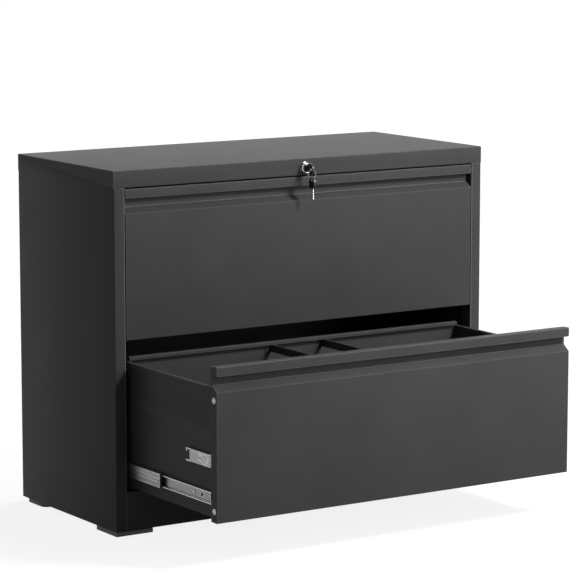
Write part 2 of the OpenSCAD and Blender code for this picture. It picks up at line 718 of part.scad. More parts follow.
// Eccentric disc with the crank pin that moves the lock bar.
module lock_cam() {
    tail = core_d * 0.5 + 2 * touch;
    color("#a2a4a6") place() difference() {
        union() {
            rod_along_y(crank_r + 10, cam_y, cam_y + 2, crank_x / 2, (lock_z + crank_z) / 2);
            rod_along_y(pin_d, cam_y + 1, flange_y + lock_bar_t + 1.5, crank_x, crank_z);
        }
        block([-tail / 2, cam_y - 1, lock_z - tail / 2], [tail / 2, cam_y + 3, lock_z + tail / 2]);
    }
}
module key() {
    color("#1a1a1b") place() difference() {
        union() {
            rod_along_x(bow_d, -bow_t / 2, bow_t / 2, bow_y, lock_z);
            block([-blade_t, bow_y, lock_z - blade_h / 2 - 1], [blade_t, -bezel_out - 1, lock_z + blade_h / 2 + 1]);
            block([-blade_t / 2, bow_y, lock_z - blade_h / 2],
                [blade_t / 2, -bezel_out - 1 + blade_len, lock_z + blade_h / 2]);
        }
        rod_along_x(bow_hole, -bow_t, bow_t, hole_y, lock_z);
    }
}

// Lock bar: a flat strip under the top, with a flange for the crank pin in the middle and
// one with a slanted slot at its left end.
module lock_bar() {
    t = lock_bar_t;
    w = pin_d + 2 * pin_gap;
    crank_w = w + 0.03 * crank_r;
    ear_y = rod_y + rod_w / 2 + 2;
    ear_in = rod_x + rod_t / 2 - bar_travel - w / 2 - 4;
    tab_x = crank_x + crank_w / 2 + 5;
    color("#a6a8aa") place() difference() {
        union() {
            block([-ear_x, flange_y, bar_z], [tab_x, flange_y + lock_bar_w, bar_z + t]);
            block([-ear_x, flange_y, bar_z], [-ear_in, ear_y + t, bar_z + t]);
            block([crank_x - crank_w / 2 - 5, flange_y, crank_z - w / 2 - 2],
                [tab_x, flange_y + t, bar_z + t]);
            block([-ear_x, ear_y, stud_z - w / 2 - 2], [-ear_in, ear_y + t, bar_z + t]);
        }
        translate([crank_x, 0, 0]) slot_y(crank_w, flange_y - 1, flange_y + t + 1,
            [0, crank_z - crank_r * (1 - sin(45))], [0, crank_z]);
        translate([-rod_x, 0, stud_z]) slot_y(w, ear_y - 1, ear_y + t + 1,
            [0, 0], [bar_travel, rod_lift]);
    }
}
// Slot through a plate along Y between two ends in the XZ plane.
module slot_y(w, y0, y1, a, b) {
    d = b - a;
    for (p = [a, b]) rod_along_y(w, y0, y1, p[0], p[1]);
    translate([a[0], 0, a[1]]) rotate([0, -atan2(d[1], d[0]), 0])
        block([0, y0, -w / 2], [norm(d), y1, w / 2]);
}
// Rod in the left front upright, with a stud at the top and a bolt for each drawer.
module lock_rod() {
    color("#a6a8aa") place() side(LEFT) {
        block([rod_x - rod_t / 2, rod_front, rod_bottom], [rod_x + rod_t / 2, rod_front + rod_w, rod_top]);
        rod_along_y(pin_d, rod_y, rod_y + rod_w / 2 + 2 + lock_bar_t + 2, rod_x, stud_z);
        for (z = front_z) rod_along_x(pin_d, bolt_tip, rod_x, rod_y, z + bolt_z);
    }
}
// Hat-shaped guides for the rod on the upright, and hangers for the bar under the top.
module lock_guides() {
    g = guide_gap;
    t = case_sheet;
    x0 = opening_x + t;
    x1 = rod_x + rod_t / 2 + g;
    y0 = rod_front - g;
    y1 = rod_front + rod_w + g;
    b0 = flange_y - g;
    b1 = flange_y + lock_bar_w + g;
    z0 = bar_z - g;
    z1 = case_h - t;
    color("#a6a8aa") place() {
        side(LEFT) for (z = [front_z[LOWER] + front_h * 0.7, front_z[UPPER] + front_h * 0.7])
            along_z(z, z + guide_len) polygon(folded([[x0 + t, y0 - t - guide_flange], [x0 + t, y0 - t], [x1 + t, y0 - t],
                [x1 + t, y1 + t], [x0 + t, y1 + t], [x0 + t, y1 + t + guide_flange]], t));
        for (x = [-opening_x * 0.3, -opening_x * 0.75])
            along_x(x, x + guide_len) polygon(folded([[b0 - t - guide_flange, z1 - t], [b0 - t, z1 - t], [b0 - t, z0 - t],
                [b1 + t, z0 - t], [b1 + t, z1 - t], [b1 + t + guide_flange, z1 - t]], t));
    }
}

// ---------------------------------------------------------------- nodes

left_side_panel();
right_side_panel();
top_panel();
back_panel();
base_panel();
kick_rail();
uprights();
front_feet();
rear_feet();
case_screws();
lock_body();
lock_nut();
lock_core();
lock_cam();
key();
lock_bar();
lock_rod();
lock_guides();
drawer_front(LOWER);  // lower_front
drawer_liner(LOWER);  // lower_front_liner
drawer_side(LOWER, LEFT);  // lower_left_side
drawer_side(LOWER, RIGHT);  // lower_right_side
drawer_back(LOWER);  // lower_back
drawer_bottom(LOWER);  // lower_bottom
hanging_bars(LOWER);  // lower_hanging_bars
cam_plate(LOWER);  // lower_cam_plate
drawer_screws(LOWER);  // lower_screws
drawer_front(UPPER);  // upper_front
drawer_liner(UPPER);  // upper_front_liner
drawer_side(UPPER, LEFT);  // upper_left_side
drawer_side(UPPER, RIGHT);  // upper_right_side
drawer_back(UPPER);  // upper_back
drawer_bottom(UPPER);  // upper_bottom
hanging_bars(UPPER);  // upper_hanging_bars
cam_plate(UPPER);  // upper_cam_plate
drawer_screws(UPPER);  // upper_screws
outer_slide(LOWER, LEFT);  // lower_left_outer_slide
outer_slide(LOWER, RIGHT);  // lower_right_outer_slide
outer_slide(UPPER, LEFT);  // upper_left_outer_slide
outer_slide(UPPER, RIGHT);  // upper_right_outer_slide
mid_slide(LOWER, LEFT);  // lower_left_mid_slide
mid_slide(LOWER, RIGHT);  // lower_right_mid_slide
mid_slide(UPPER, LEFT);  // upper_left_mid_slide
mid_slide(UPPER, RIGHT);  // upper_right_mid_slide
inner_slide(LOWER, LEFT);  // lower_left_inner_slide
inner_slide(LOWER, RIGHT);  // lower_right_inner_slide
inner_slide(UPPER, LEFT);  // upper_left_inner_slide
inner_slide(UPPER, RIGHT);  // upper_right_inner_slide
slide_stops(LOWER);  // lower_slide_stops
slide_stops(UPPER);  // upper_slide_stops
outer_cages(LOWER);  // lower_outer_cages
outer_cages(UPPER);  // upper_outer_cages
inner_cages(LOWER);  // lower_inner_cages
inner_cages(UPPER);  // upper_inner_cages
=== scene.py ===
"""Looks of a two-drawer lateral filing cabinet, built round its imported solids.

The sheets, the feet, the slides and the lock's linkage are dressed copies of the solids
with broken edges. The lock, the keys, the screws, the balls, the cam plates and the front
ends of the slides are made here. Everything is in metres, with +X to the right seen from
the front, -Y out of the front and +Z up.
"""

import json
import logging
import math
from collections.abc import Iterator
from contextlib import contextmanager
from dataclasses import dataclass
from enum import Enum

import bmesh
import bpy
from mathutils import Matrix, Vector


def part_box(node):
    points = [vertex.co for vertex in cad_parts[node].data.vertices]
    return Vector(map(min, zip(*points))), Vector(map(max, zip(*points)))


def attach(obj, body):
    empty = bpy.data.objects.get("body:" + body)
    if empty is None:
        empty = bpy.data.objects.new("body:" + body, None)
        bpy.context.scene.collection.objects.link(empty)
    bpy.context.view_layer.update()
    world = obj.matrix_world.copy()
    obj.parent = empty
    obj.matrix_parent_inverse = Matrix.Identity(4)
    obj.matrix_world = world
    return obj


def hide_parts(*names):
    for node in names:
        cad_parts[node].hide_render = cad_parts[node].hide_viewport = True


log = logging.getLogger("filing_cabinet")
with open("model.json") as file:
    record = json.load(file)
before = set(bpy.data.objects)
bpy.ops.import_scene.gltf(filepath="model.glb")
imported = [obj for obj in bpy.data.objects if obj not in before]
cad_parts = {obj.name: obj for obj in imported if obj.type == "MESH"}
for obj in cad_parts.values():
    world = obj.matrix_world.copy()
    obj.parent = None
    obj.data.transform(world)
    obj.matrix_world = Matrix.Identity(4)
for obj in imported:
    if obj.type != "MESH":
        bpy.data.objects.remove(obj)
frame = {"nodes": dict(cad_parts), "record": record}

Triple = tuple[float, float, float]
Points = list[tuple[float, float]]
Socket = bpy.types.NodeSocket
Tree = bpy.types.NodeTree
Mesh = bpy.types.Mesh
Thing = bpy.types.Object
Material = bpy.types.Material

MM = 0.001
MERGE = 0.000004
SHARP = 38.0


# ---- node helpers


class Graph:
    """Adds and joins the nodes of one tree."""

    def __init__(self, tree: Tree) -> None:
        """Empties the tree."""
        self.tree = tree
        tree.nodes.clear()

    def add(self, kind: str, values: dict | None = None, **settings: object) -> bpy.types.Node:
        """Adds a node.

        Args:
            kind: the node's Blender type name.
            values: input name or number to a value or to an output socket.
            **settings: properties of the node.

        Returns:
            The new node.
        """
        node = self.tree.nodes.new(kind)
        for name, value in settings.items():
            setattr(node, name, value)
        for key, value in (values or {}).items():
            socket = node.inputs[key]
            if isinstance(value, Socket):
                self.link(value, socket)
            else:
                socket.default_value = value
        return node

    def out(self, kind: str, values: dict | None = None, **settings: object) -> Socket:
        """Adds a node and returns its first output."""
        return self.add(kind, values, **settings).outputs[0]

    def math(self, operation: str, a: object, b: object = 0.0) -> Socket:
        """Adds a Math node and returns its output."""
        return self.out("ShaderNodeMath", {0: a, 1: b}, operation=operation)

    def noise(self, place: Socket, scale: object, detail: float, bend: float = 0.0) -> Socket:
        """Adds a noise texture and returns its value."""
        values = {"Vector": place, "Scale": scale, "Detail": detail, "Distortion": bend}
        return self.out("ShaderNodeTexNoise", values)

    def link(self, start: Socket, end: Socket) -> None:
        """Joins an output to an input."""
        self.tree.links.new(start, end)


SOCKETS = {
    float: "NodeSocketFloat",
    int: "NodeSocketInt",
    Vector: "NodeSocketVector",
    bpy.types.Object: "NodeSocketObject",
    bpy.types.Mesh: "NodeSocketGeometry",
}


def new_group(name: str, kind: str, inputs: dict, outputs: dict) -> tuple:
    """Makes a node group with its sockets and its two end nodes.

    Args:
        name: the group's name.
        kind: ShaderNodeTree or GeometryNodeTree.
        inputs: input name to its default, or to its type if it has none.
        outputs: output name to its type.

    Returns:
        The group, its graph, the sockets that come in and those that go out.
    """
    group = bpy.data.node_groups.new(name, kind)
    for label, default in inputs.items():
        plain = isinstance(default, type)
        socket_type = SOCKETS[default if plain else type(default)]
        socket = group.interface.new_socket(label, in_out="INPUT", socket_type=socket_type)
        if not plain:
            socket.default_value = default
    for label, made in outputs.items():
        group.interface.new_socket(label, in_out="OUTPUT", socket_type=SOCKETS[made])
    g = Graph(group)
    start, end = g.add("NodeGroupInput"), g.add("NodeGroupOutput")
    return group, g, start.outputs, end.inputs


class SurfaceGroups:
    """Shader groups that several finishes share."""

    def __init__(self) -> None:
        """Builds each group once."""
        self.peel = self._peel()
        self.rolled = self._rolled()
        self.rub = self._rub()

    @staticmethod
    def _start(name: str, inputs: dict, *outputs: str) -> tuple:
        """Makes a group with a Vector input and outputs that are numbers."""
        inputs = {"Vector": Vector, **inputs}
        return new_group(name, "ShaderNodeTree", inputs, dict.fromkeys(outputs, float))

    def _peel(self) -> Tree:
        """Makes the fine grain and the wide mottle of a baked coat or a moulding."""
        inputs = {"Grain": 900.0, "Cloud": 9.0}
        group, g, start, end = self._start("powder_peel", inputs, "Height", "Mottle")
        g.link(g.noise(start["Vector"], start["Grain"], 2.0), end["Height"])
        g.link(g.noise(start["Vector"], start["Cloud"], 3.0), end["Mottle"])
        return group

    def _rolled(self) -> Tree:
        """Makes the long fine streaks of rolled strip, along the least stretched axis."""
        inputs = {"Stretch": Vector((1.0, 0.03, 1.0))}
        group, g, start, end = self._start("rolled_strip", inputs, "Height", "Streak")
        values = {0: start["Vector"], 1: start["Stretch"]}
        drawn = g.out("ShaderNodeVectorMath", values, operation="MULTIPLY")
        g.link(g.noise(drawn, 2600.0, 3.0), end["Height"])
        g.link(g.noise(drawn, 320.0, 2.0), end["Streak"])
        return group

    def _rub(self) -> Tree:
        """Makes a mask of the patches where a surface is handled, 0 where it is untouched."""
        inputs = {"Size": 60.0, "Spread": 0.55}
        group, g, start, end = self._start("rubbed_patches", inputs, "Mask")
        noise = g.noise(start["Vector"], start["Size"], 4.0, 0.6)
        past = g.math("SUBTRACT", noise, start["Spread"])
        g.link(g.out("ShaderNodeClamp", {0: g.math("MULTIPLY", past, 6.0)}), end["Mask"])
        return group


# ---- finishes


def scaled(colour: Triple, by: float) -> Triple:
    """Makes a colour lighter or darker, up to white."""
    return tuple(min(1.0, c * by) for c in colour)


@dataclass(frozen=True)
class FinishBase:
    """What every finish shares: a material with a Principled shader."""

    name: str
    colour: Triple
    roughness: float

    def build(self, groups: SurfaceGroups) -> Material:
        """Makes the material from the shared shader groups."""
        material = bpy.data.materials.new(self.name)
        material.use_nodes = True
        g = Graph(material.node_tree)
        shader = g.add("ShaderNodeBsdfPrincipled")
        g.link(shader.outputs[0], g.add("ShaderNodeOutputMaterial").inputs[0])
        place = g.add("ShaderNodeTexCoord").outputs["Object"]
        self.paint(g, groups, place, shader.inputs)
        return material

    @staticmethod
    def _use(g: Graph, group: Tree, place: Socket, **values: object) -> object:
        """Adds a shared group at a place and returns its outputs."""
        return g.add("ShaderNodeGroup", {"Vector": place, **values}, node_tree=group).outputs

    @staticmethod
    def _spread(g: Graph, source: Socket, low: float, high: float) -> Socket:
        """Maps a noise value, mostly 0.3 to 0.7, to a range."""
        return g.out("ShaderNodeMapRange", {0: source, 1: 0.3, 2: 0.7, 3: low, 4: high})

    @staticmethod
    def _edges(g: Graph, radius: float, gain: float, upper: bool = False) -> Socket:
        """Returns 1 on bends and broken edges, or on the upper ones alone, and 0 on flats: the
        mask of the painted edge highlights.
        """
        turned = g.out("ShaderNodeBevel", {"Radius": radius}, samples=6)
        flat = g.add("ShaderNodeNewGeometry").outputs["Normal"]
        both = g.add("ShaderNodeVectorMath", {0: flat, 1: turned}, operation="DOT_PRODUCT")
        mask = g.math("MULTIPLY", g.math("SUBTRACT", 1.0, both.outputs["Value"]), gain)
        if upper:
            rise = g.add("ShaderNodeSeparateXYZ", {0: turned}).outputs["Z"]
            share = g.out("ShaderNodeMapRange", {0: rise, 1: 0.12, 2: 0.4, 3: 0.1})
            mask = g.math("MULTIPLY", mask, share)
        return g.math("MINIMUM", g.math("MAXIMUM", mask, 0.0), 1.0)

    @staticmethod
    def _tint(g: Graph, factor: Socket, first: "Triple | Socket", second: Triple) -> Socket:
        """Mixes two colours by a factor, 0 for the first and 1 for the second."""
        first = first if isinstance(first, Socket) else (*first, 1.0)
        values = {0: factor, 6: first, 7: (*second, 1.0)}
        return g.add("ShaderNodeMix", values, data_type="RGBA").outputs[2]

    def _relief(self, g: Graph, height: Socket, depth: float, shader: object) -> None:
        """Roughens the surface by a height of a given depth."""
        values = {"Strength": self.bump, "Distance": depth, "Height": height}
        g.link(g.out("ShaderNodeBump", values), shader["Normal"])


@dataclass(frozen=True)
class Coat(FinishBase):
    """Fine-grained skin: that of a moulding, or powder baked on steel sheet."""

    grain: float = 1500.0
    bump: float = 0.2
    cloud: float = 40.0
    shades: tuple[float, float] = (1.0, 1.25)
    band: tuple[float, float] = (0.05, 0.05)
    specular: float = 0.5
    # How many times lighter the upper edges are painted: a painted highlight where light from
    # above catches them.
    upper_edge_highlight: float = 0.0

    def paint(self, g: Graph, groups: SurfaceGroups, place: Socket, shader: object) -> None:
        """Sets the shader's inputs."""
        peel = self._use(g, groups.peel, place, Grain=self.grain, Cloud=self.cloud)
        mottle = self._spread(g, peel["Mottle"], 0.0, 1.0)
        tint = self._tint(g, mottle, *(scaled(self.colour, by) for by in self.shades))
        # Painted highlight: the upper bends and broken edges get a lighter colour.
        if self.upper_edge_highlight:
            edge = self._edges(g, 1.5 * MM, 24.0, upper=True)
            tint = self._tint(g, edge, tint, scaled(self.colour, self.upper_edge_highlight))
        g.link(tint, shader["Base Color"])
        low, high = self.roughness - self.band[0], self.roughness + self.band[1]
        g.link(self._spread(g, peel["Mottle"], low, high), shader["Roughness"])
        self._relief(g, peel["Height"], 0.2 * MM, shader)
        shader["Specular IOR Level"].default_value = self.specular


@dataclass(frozen=True)
class ZincSteel(FinishBase):
    """Zinc-plated strip with rolling streaks, rubbed tracks and a painted highlight on its edges
    and bends.
    """

    stretch: Triple = (1.0, 0.03, 1.0)
    bump: float = 0.08
    # Radius, gain and colour of the painted highlight on edges and bends.
    edge: float = 1.6 * MM
    gain: float = 14.0
    edge_highlight: Triple = (0.82, 0.82, 0.83)

    def paint(self, g: Graph, groups: SurfaceGroups, place: Socket, shader: object) -> None:
        """Sets the shader's inputs."""
        strip = self._use(g, groups.rolled, place, Stretch=self.stretch)
        rub = self._use(g, groups.rub, place)
        streak = self._spread(g, strip["Streak"], 0.0, 1.0)
        flat = self._tint(g, streak, scaled(self.colour, 0.86), scaled(self.colour, 1.08))
        # Painted highlight: edges and bends are mixed towards a pale zinc colour.
        edge = self._edges(g, self.edge, self.gain)
        g.link(self._tint(g, edge, flat, self.edge_highlight), shader["Base Color"])
        even = self._spread(g, strip["Streak"], self.roughness - 0.05, self.roughness + 0.08)
        worn = g.math("MULTIPLY", rub["Mask"], 0.08)
        g.link(g.math("SUBTRACT", even, worn), shader["Roughness"])
        self._relief(g, strip["Height"], 0.1 * MM, shader)
        shader["Metallic"].default_value = 1.0


@dataclass(frozen=True)
class PolishedMetal(FinishBase):
    """Polished plated metal with faint wipe marks."""

    def paint(self, g: Graph, groups: SurfaceGroups, place: Socket, shader: object) -> None:
        """Sets the shader's inputs."""
        mask = self._use(g, groups.rub, place, Size=180.0, Spread=0.45)["Mask"]
        tint = self._tint(g, mask, self.colour, scaled(self.colour, 0.93))
        g.link(tint, shader["Base Color"])
        marks = g.math("MULTIPLY", mask, 0.06)
        g.link(g.math("ADD", marks, self.roughness), shader["Roughness"])
        shader["Metallic"].default_value = 1.0


class Slot(Enum):
    """The record's material slots."""

    CASE = "case_paint"
    DRAWER = "drawer_paint"
    SLIDE = "slide_steel"
    CAGE = "cage_steel"
    STAMPED = "zinc_steel"
    SCREW = "zinc_screw"
    LOCK = "lock_chrome"
    KEY = "key_plastic"
    FOOT = "foot_rubber"
    STOP = "stop_plastic"


POWDER = {
    "grain": 1100.0,
    "bump": 0.12,
    "cloud": 9.0,
    "shades": (0.94, 1.06),
    "band": (0.02, 0.03),
    "specular": 0.05,
    # Painted highlight on the upper edges, four times the coat's colour.
    "upper_edge_highlight": 4.0,
}
CHARCOAL = (0.064, 0.065, 0.067)
FINISHES: dict[Slot | str, FinishBase] = {
    Slot.CASE: Coat("charcoal_coat_case", CHARCOAL, 0.42, **POWDER),
    Slot.DRAWER: Coat("charcoal_coat_drawer", CHARCOAL, 0.42, **POWDER),
    Slot.SLIDE: ZincSteel("zinc_slide", (0.2, 0.203, 0.206), 0.3),
    Slot.CAGE: ZincSteel("zinc_cage", (0.36, 0.365, 0.37), 0.24),
    Slot.STAMPED: ZincSteel("zinc_stamping", (0.25, 0.254, 0.26), 0.3, (1.0, 0.2, 1.0)),
    Slot.SCREW: ZincSteel("zinc_screw", (0.2, 0.203, 0.206), 0.3, (1.0, 1.0, 1.0)),
    Slot.LOCK: PolishedMetal("lock_chrome", (0.36, 0.365, 0.37), 0.14),
    Slot.KEY: Coat("key_black", (0.010, 0.010, 0.011), 0.3, 2200.0, 0.08),
    Slot.FOOT: Coat("foot_black", (0.012, 0.012, 0.012), 0.6),
    Slot.STOP: Coat("stop_black", (0.012, 0.012, 0.013), 0.45),
    "core": Coat("core_black", (0.012, 0.012, 0.012), 0.35, 2600.0, 0.1),
    "steel": PolishedMetal("key_steel", (0.42, 0.425, 0.43), 0.22),
}


def build_finishes() -> dict[Slot | str, Material]:
    """Makes the shared groups and the materials of all finishes."""
    groups = SurfaceGroups()
    return {key: finish.build(groups) for key, finish in FINISHES.items()}


# ---- mesh helpers


@contextmanager
def edited(mesh: Mesh) -> Iterator[bmesh.types.BMesh]:
    """Opens a mesh for editing and writes it back at the end."""
    bm = bmesh.new()
    bm.from_mesh(mesh)
    yield bm
    bm.to_mesh(mesh)
    bm.free()


def put(mesh: Mesh, name: str, material: Material) -> Thing:
    """Makes an object of a mesh with one material and links it to the scene."""
    mesh.materials.clear()
    mesh.materials.append(material)
    thing = bpy.data.objects.new(name, mesh)
    bpy.context.scene.collection.objects.link(thing)
    return thing


def smooth(mesh: Mesh, degrees: float = SHARP) -> Mesh:
    """Shades a mesh smooth, with sharp edges past an angle."""
    mesh.polygons.foreach_set("use_smooth", [True] * len(mesh.polygons))
    mesh.set_sharp_from_angle(angle=math.radians(degrees))
    mesh.update()
    return mesh


def soften(thing: Thing, width: float, segments: int = 2, degrees: float = 40.0) -> None:
    """Breaks an object's sharp edges with a narrow bevel."""
    bevel = thing.modifiers.new("broken_edges", "BEVEL")
    bevel.width = width
    bevel.segments = segments
    bevel.limit_method = "ANGLE"
    bevel.angle_limit = math.radians(degrees)
    bevel.harden_normals = True
    bevel.use_clamp_overlap = True


def copy_of(node: str) -> Mesh:
    """Copies a solid's mesh, with its doubles merged and its flat faces joined."""
    mesh = frame["nodes"][node].data.copy()
    mesh.name = f"{node}_copy"
    with edited(mesh) as bm:
        bmesh.ops.remove_doubles(bm, verts=bm.verts, dist=MERGE)
        flat = math.radians(0.6)
        bmesh.ops.dissolve_limit(
            bm, angle_limit=flat, verts=bm.verts, edges=bm.edges, delimit={"NORMAL"}
        )
    for label in ("custom_normal", "sharp_edge"):
        if label in mesh.attributes:
            mesh.attributes.remove(mesh.attributes[label])
    return mesh


def corners(points: list[Vector]) -> tuple[Vector, Vector]:
    """Returns the lowest and the highest corner of the box round some points."""
    low = Vector([min(p[i] for p in points) for i in range(3)])
    return low, Vector([max(p[i] for p in points) for i in range(3)])


def islands(node: str) -> list[list[Vector]]:
    """Lists the points of each separate solid of a node."""
    bm = bmesh.new()
    bm.from_mesh(frame["nodes"][node].data)
    bmesh.ops.remove_doubles(bm, verts=bm.verts, dist=MERGE)
    left, found = set(bm.verts), []
    while left:
        front, seen = [left.pop()], []
        while front:
            vert = front.pop()
            seen.append(vert.co.copy())
            for edge in vert.link_edges:
                other = edge.other_vert(vert)
                if other in left:
                    left.discard(other)
                    front.append(other)
        found.append(seen)
    bm.free()
    return found


def grid(rows: int, count: int, closed: bool = True) -> list[tuple[int, ...]]:
    """Lists the faces between rows of corners, each row a ring or left open."""
    sides = [(k, (k + 1) % count) for k in range(count if closed else count - 1)]
    firsts = range(0, (rows - 1) * count, count)
    return [(j + a, j + b, j + count + b, j + count + a) for j in firsts for a, b in sides]


def capped(rows: int, count: int) -> list[tuple[int, ...]]:
    """Lists the faces between rings of corners, and those that close the ends."""
    ends = [tuple(range(count)), tuple(range((rows - 1) * count, rows * count))]
    return grid(rows, count) + ends


def meshed(verts: list[Triple], faces: list[tuple[int, ...]], name: str) -> Mesh:
    """Makes a mesh of corners and faces, merges its doubles and turns its faces outward."""
    mesh = bpy.data.meshes.new(name)
    mesh.from_pydata(verts, [], faces)
    with edited(mesh) as bm:
        bmesh.ops.remove_doubles(bm, verts=bm.verts, dist=1e-7)
        bmesh.ops.recalc_face_normals(bm, faces=bm.faces)
    return mesh


def lathe(profile: Points, steps: int, name: str) -> Mesh:
    """Turns a profile of (radius, height) points about the Z axis, in a number of steps."""
    turn = [2 * math.pi * k / steps for k in range(steps)]
    verts = [(r * math.cos(a), r * math.sin(a), z) for r, z in profile for a in turn]
    return meshed(verts, grid(len(profile), steps), name)


def wire(points: list[Vector], radius: float, name: str) -> Mesh:
    """Sweeps a round wire along points."""
    curve = bpy.data.curves.new(name, "CURVE")
    curve.dimensions = "3D"
    curve.bevel_depth = radius
    curve.bevel_resolution = 2
    curve.use_fill_caps = True
    spline = curve.splines.new("POLY")
    spline.points.add(len(points) - 1)
    for target, point in zip(spline.points, points):
        target.co = (*point, 1.0)
    return taken([bpy.data.objects.new(name, curve)], name)


def taken(things: list[Thing], name: str) -> Mesh:
    """Returns the finished mesh of the first of some objects, and removes them all."""
    for thing in things:
        bpy.context.scene.collection.objects.link(thing)
    view = bpy.context.evaluated_depsgraph_get()
    mesh = bpy.data.meshes.new_from_object(things[0].evaluated_get(view))
    for thing in things:
        bpy.data.objects.remove(thing)
    mesh.name = name
    return mesh


def plate(outline: Points, thickness: float, name: str) -> Mesh:
    """Makes a flat plate of (y, z) corners, centred on X."""
    verts = [(x, y, z) for x in (-thickness / 2, thickness / 2) for y, z in outline]
    return meshed(verts, capped(2, len(outline)), name)


def cut(body: Mesh, tool: Mesh, name: str) -> Mesh:
    """Takes one mesh out of another."""
    parts = [bpy.data.objects.new(f"{name}_{k}", m) for k, m in enumerate((body, tool))]
    knife = parts[0].modifiers.new("cut", "BOOLEAN")
    knife.object = parts[1]
    knife.operation = "DIFFERENCE"
    knife.solver = "EXACT"
    return taken(parts, name)


def block(low: Vector, high: Vector, name: str) -> Mesh:
    """Makes a box between two corners."""
    mesh = bpy.data.meshes.new(name)
    with edited(mesh) as bm:
        bmesh.ops.create_cube(bm, size=1.0)
        middle = Matrix.Translation((low + high) / 2)
        bm.transform(middle @ Matrix.Diagonal((*(high - low), 1.0)))
    return mesh


def joined(meshes: list[Mesh], name: str) -> Mesh:
    """Puts several meshes into one."""
    whole = bpy.data.meshes.new(name)
    with edited(whole) as bm:
        for mesh in meshes:
            bm.from_mesh(mesh)
    return whole


@dataclass(frozen=True)
class Nudge:
    """A move of all corners that lie between two limits of one axis."""

    axis: int
    low: float
    high: float
    along: int
    by: float


def nudged(node: str, *moves: Nudge) -> Mesh:
    """Copies a solid's mesh and moves its corners, each by where it stood before any move."""
    mesh = copy_of(node)
    for vert in mesh.vertices:
        was = vert.co.copy()
        for move in moves:
            if move.low < was[move.axis] < move.high:
                vert.co[move.along] += move.by
    return mesh


# ---- pieces


@dataclass(frozen=True)
class Seat:
    """Where one repeated piece stands."""

    place: Vector
    turn: Vector
    size: Vector


class Scatter:
    """Geometry node tree that stands a template on every seat."""

    def __init__(self) -> None:
        """Builds the tree with its named inputs."""
        inputs = {"Geometry": Mesh, "Template": Thing, "Spin": 0.0, "Seed": 7}
        name, kind = "stand_template_on_seats", "GeometryNodeTree"
        self.tree, g, start, end = new_group(name, kind, inputs, {"Geometry": Mesh})
        named = "GeometryNodeInputNamedAttribute"
        turn = g.add(named, {"Name": "turn"}, data_type="FLOAT_VECTOR").outputs["Attribute"]
        size = g.add(named, {"Name": "size"}, data_type="FLOAT_VECTOR").outputs["Attribute"]
        values = {3: start["Spin"], "Seed": start["Seed"]}
        about = g.add("FunctionNodeRandomValue", values, data_type="FLOAT").outputs[1]
        piece = g.add("GeometryNodeObjectInfo", {"Object": start["Template"]})
        values = {"Instance": piece.outputs["Geometry"], "Rotation": turn, "Scale": size}
        values["Points"] = start["Geometry"]
        stand = g.out("GeometryNodeInstanceOnPoints", values)
        values = {"Instances": stand, "Local Space": True}
        values["Rotation"] = g.out("ShaderNodeCombineXYZ", {"Z": about})
        twist = g.out("GeometryNodeRotateInstances", values)
        whole = g.out("GeometryNodeRealizeInstances", {"Geometry": twist})
        g.link(whole, end["Geometry"])

    def make(
        self, name: str, template: Mesh, seats: list[Seat], spin: float = 0.0, seed: int = 7
    ) -> Mesh:
        """Makes one mesh of a template on all seats, each turned at random up to a spin."""
        points = bpy.data.meshes.new(f"{name}_seats")
        points.from_pydata([seat.place for seat in seats], [], [])
        for label in ("turn", "size"):
            layer = points.attributes.new(label, "FLOAT_VECTOR", "POINT")
            for item, seat in zip(layer.data, seats):
                item.vector = getattr(seat, label)
        holder = bpy.data.objects.new(f"{name}_holder", points)
        model = bpy.data.objects.new(f"{name}_template", template)
        scatter = holder.modifiers.new("scatter", "NODES")
        scatter.node_group = self.tree
        values = {"Template": model, "Spin": spin, "Seed": seed}
        for item in self.tree.interface.items_tree:
            if item.name in values:
                scatter[item.identifier] = values[item.name]
        mesh = taken([holder, model], name)
        for label in ("turn", "size"):
            if label in mesh.attributes:
                mesh.attributes.remove(mesh.attributes[label])
        return smooth(mesh)


@dataclass(frozen=True)
class Builder:
    """Makes pieces of meshes and sets each on its body."""

    finishes: dict[Slot | str, Material]
    scatter: Scatter
    carried_by: dict[str, str]

    def piece(
        self, mesh: Mesh, name: str, body: str, slot: Slot, *nodes: str, **special: Material
    ) -> Thing:
        """Makes a piece of a mesh.

        Args:
            mesh: the mesh.
            name: the piece's name.
            body: the body that carries it.
            slot: its slot in the record.
            *nodes: CAD nodes that it stands for.
            **special: its material, if it isn't the slot's own.
        """
        thing = put(mesh, name, special.get("material", self.finishes[slot]))
        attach(thing, body)
        if nodes:
            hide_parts(*nodes)
        log.info("%-28s %-20s %6d faces", thing.name, body, len(mesh.polygons))
        return thing

    def dress(self, node: str, slot: Slot, edge: float, mesh: Mesh | None = None) -> None:
        """Dresses a node's mesh, or one in its place, with broken edges and smooth bends."""
        name = f"{node}_dressed"
        mesh = mesh or copy_of(node)
        thing = self.piece(smooth(mesh), name, self.carried_by[node], slot, node)
        soften(thing, edge, 2, SHARP)


HEAD_R, HEAD_H, STEM_R = 4.0 * MM, 2.0 * MM, 2.0 * MM
FLAT_HEAD = (1.5, 1.5, 0.7)
FRONT_SCREWS_X = 0.42


def pan_head() -> Mesh:
    """Makes a cross-recessed pan head whose seat lies on Z = 0."""
    r, h = HEAD_R, HEAD_H
    dome = ((1.0, 0.0), (1.0, 0.35), (0.96, 0.62), (0.84, 0.84), (0.62, 0.96), (0.0, 1.0))
    head = lathe([(0.0, 0.0), *((u * r, v * h) for u, v in dome)], 40, "pan_head")
    size = Matrix.Diagonal((0.98 * r, 0.2 * r, 1.5 * h, 1.0))
    for turn in (0.0, math.pi / 2):
        bar = bpy.data.meshes.new("recess_bar")
        with edited(bar) as bm:
            bmesh.ops.create_cube(bm, size=1.0)
            shape = Matrix.Rotation(turn, 4, "Z") @ size
            bm.transform(Matrix.Translation((0.0, 0.0, 1.15 * h)) @ shape)
            for vert in bm.verts:
                if vert.co.z < h:
                    vert.co.x *= 0.62
                    vert.co.y *= 0.62
        head = cut(head, bar, "pan_head_cross")
    return head


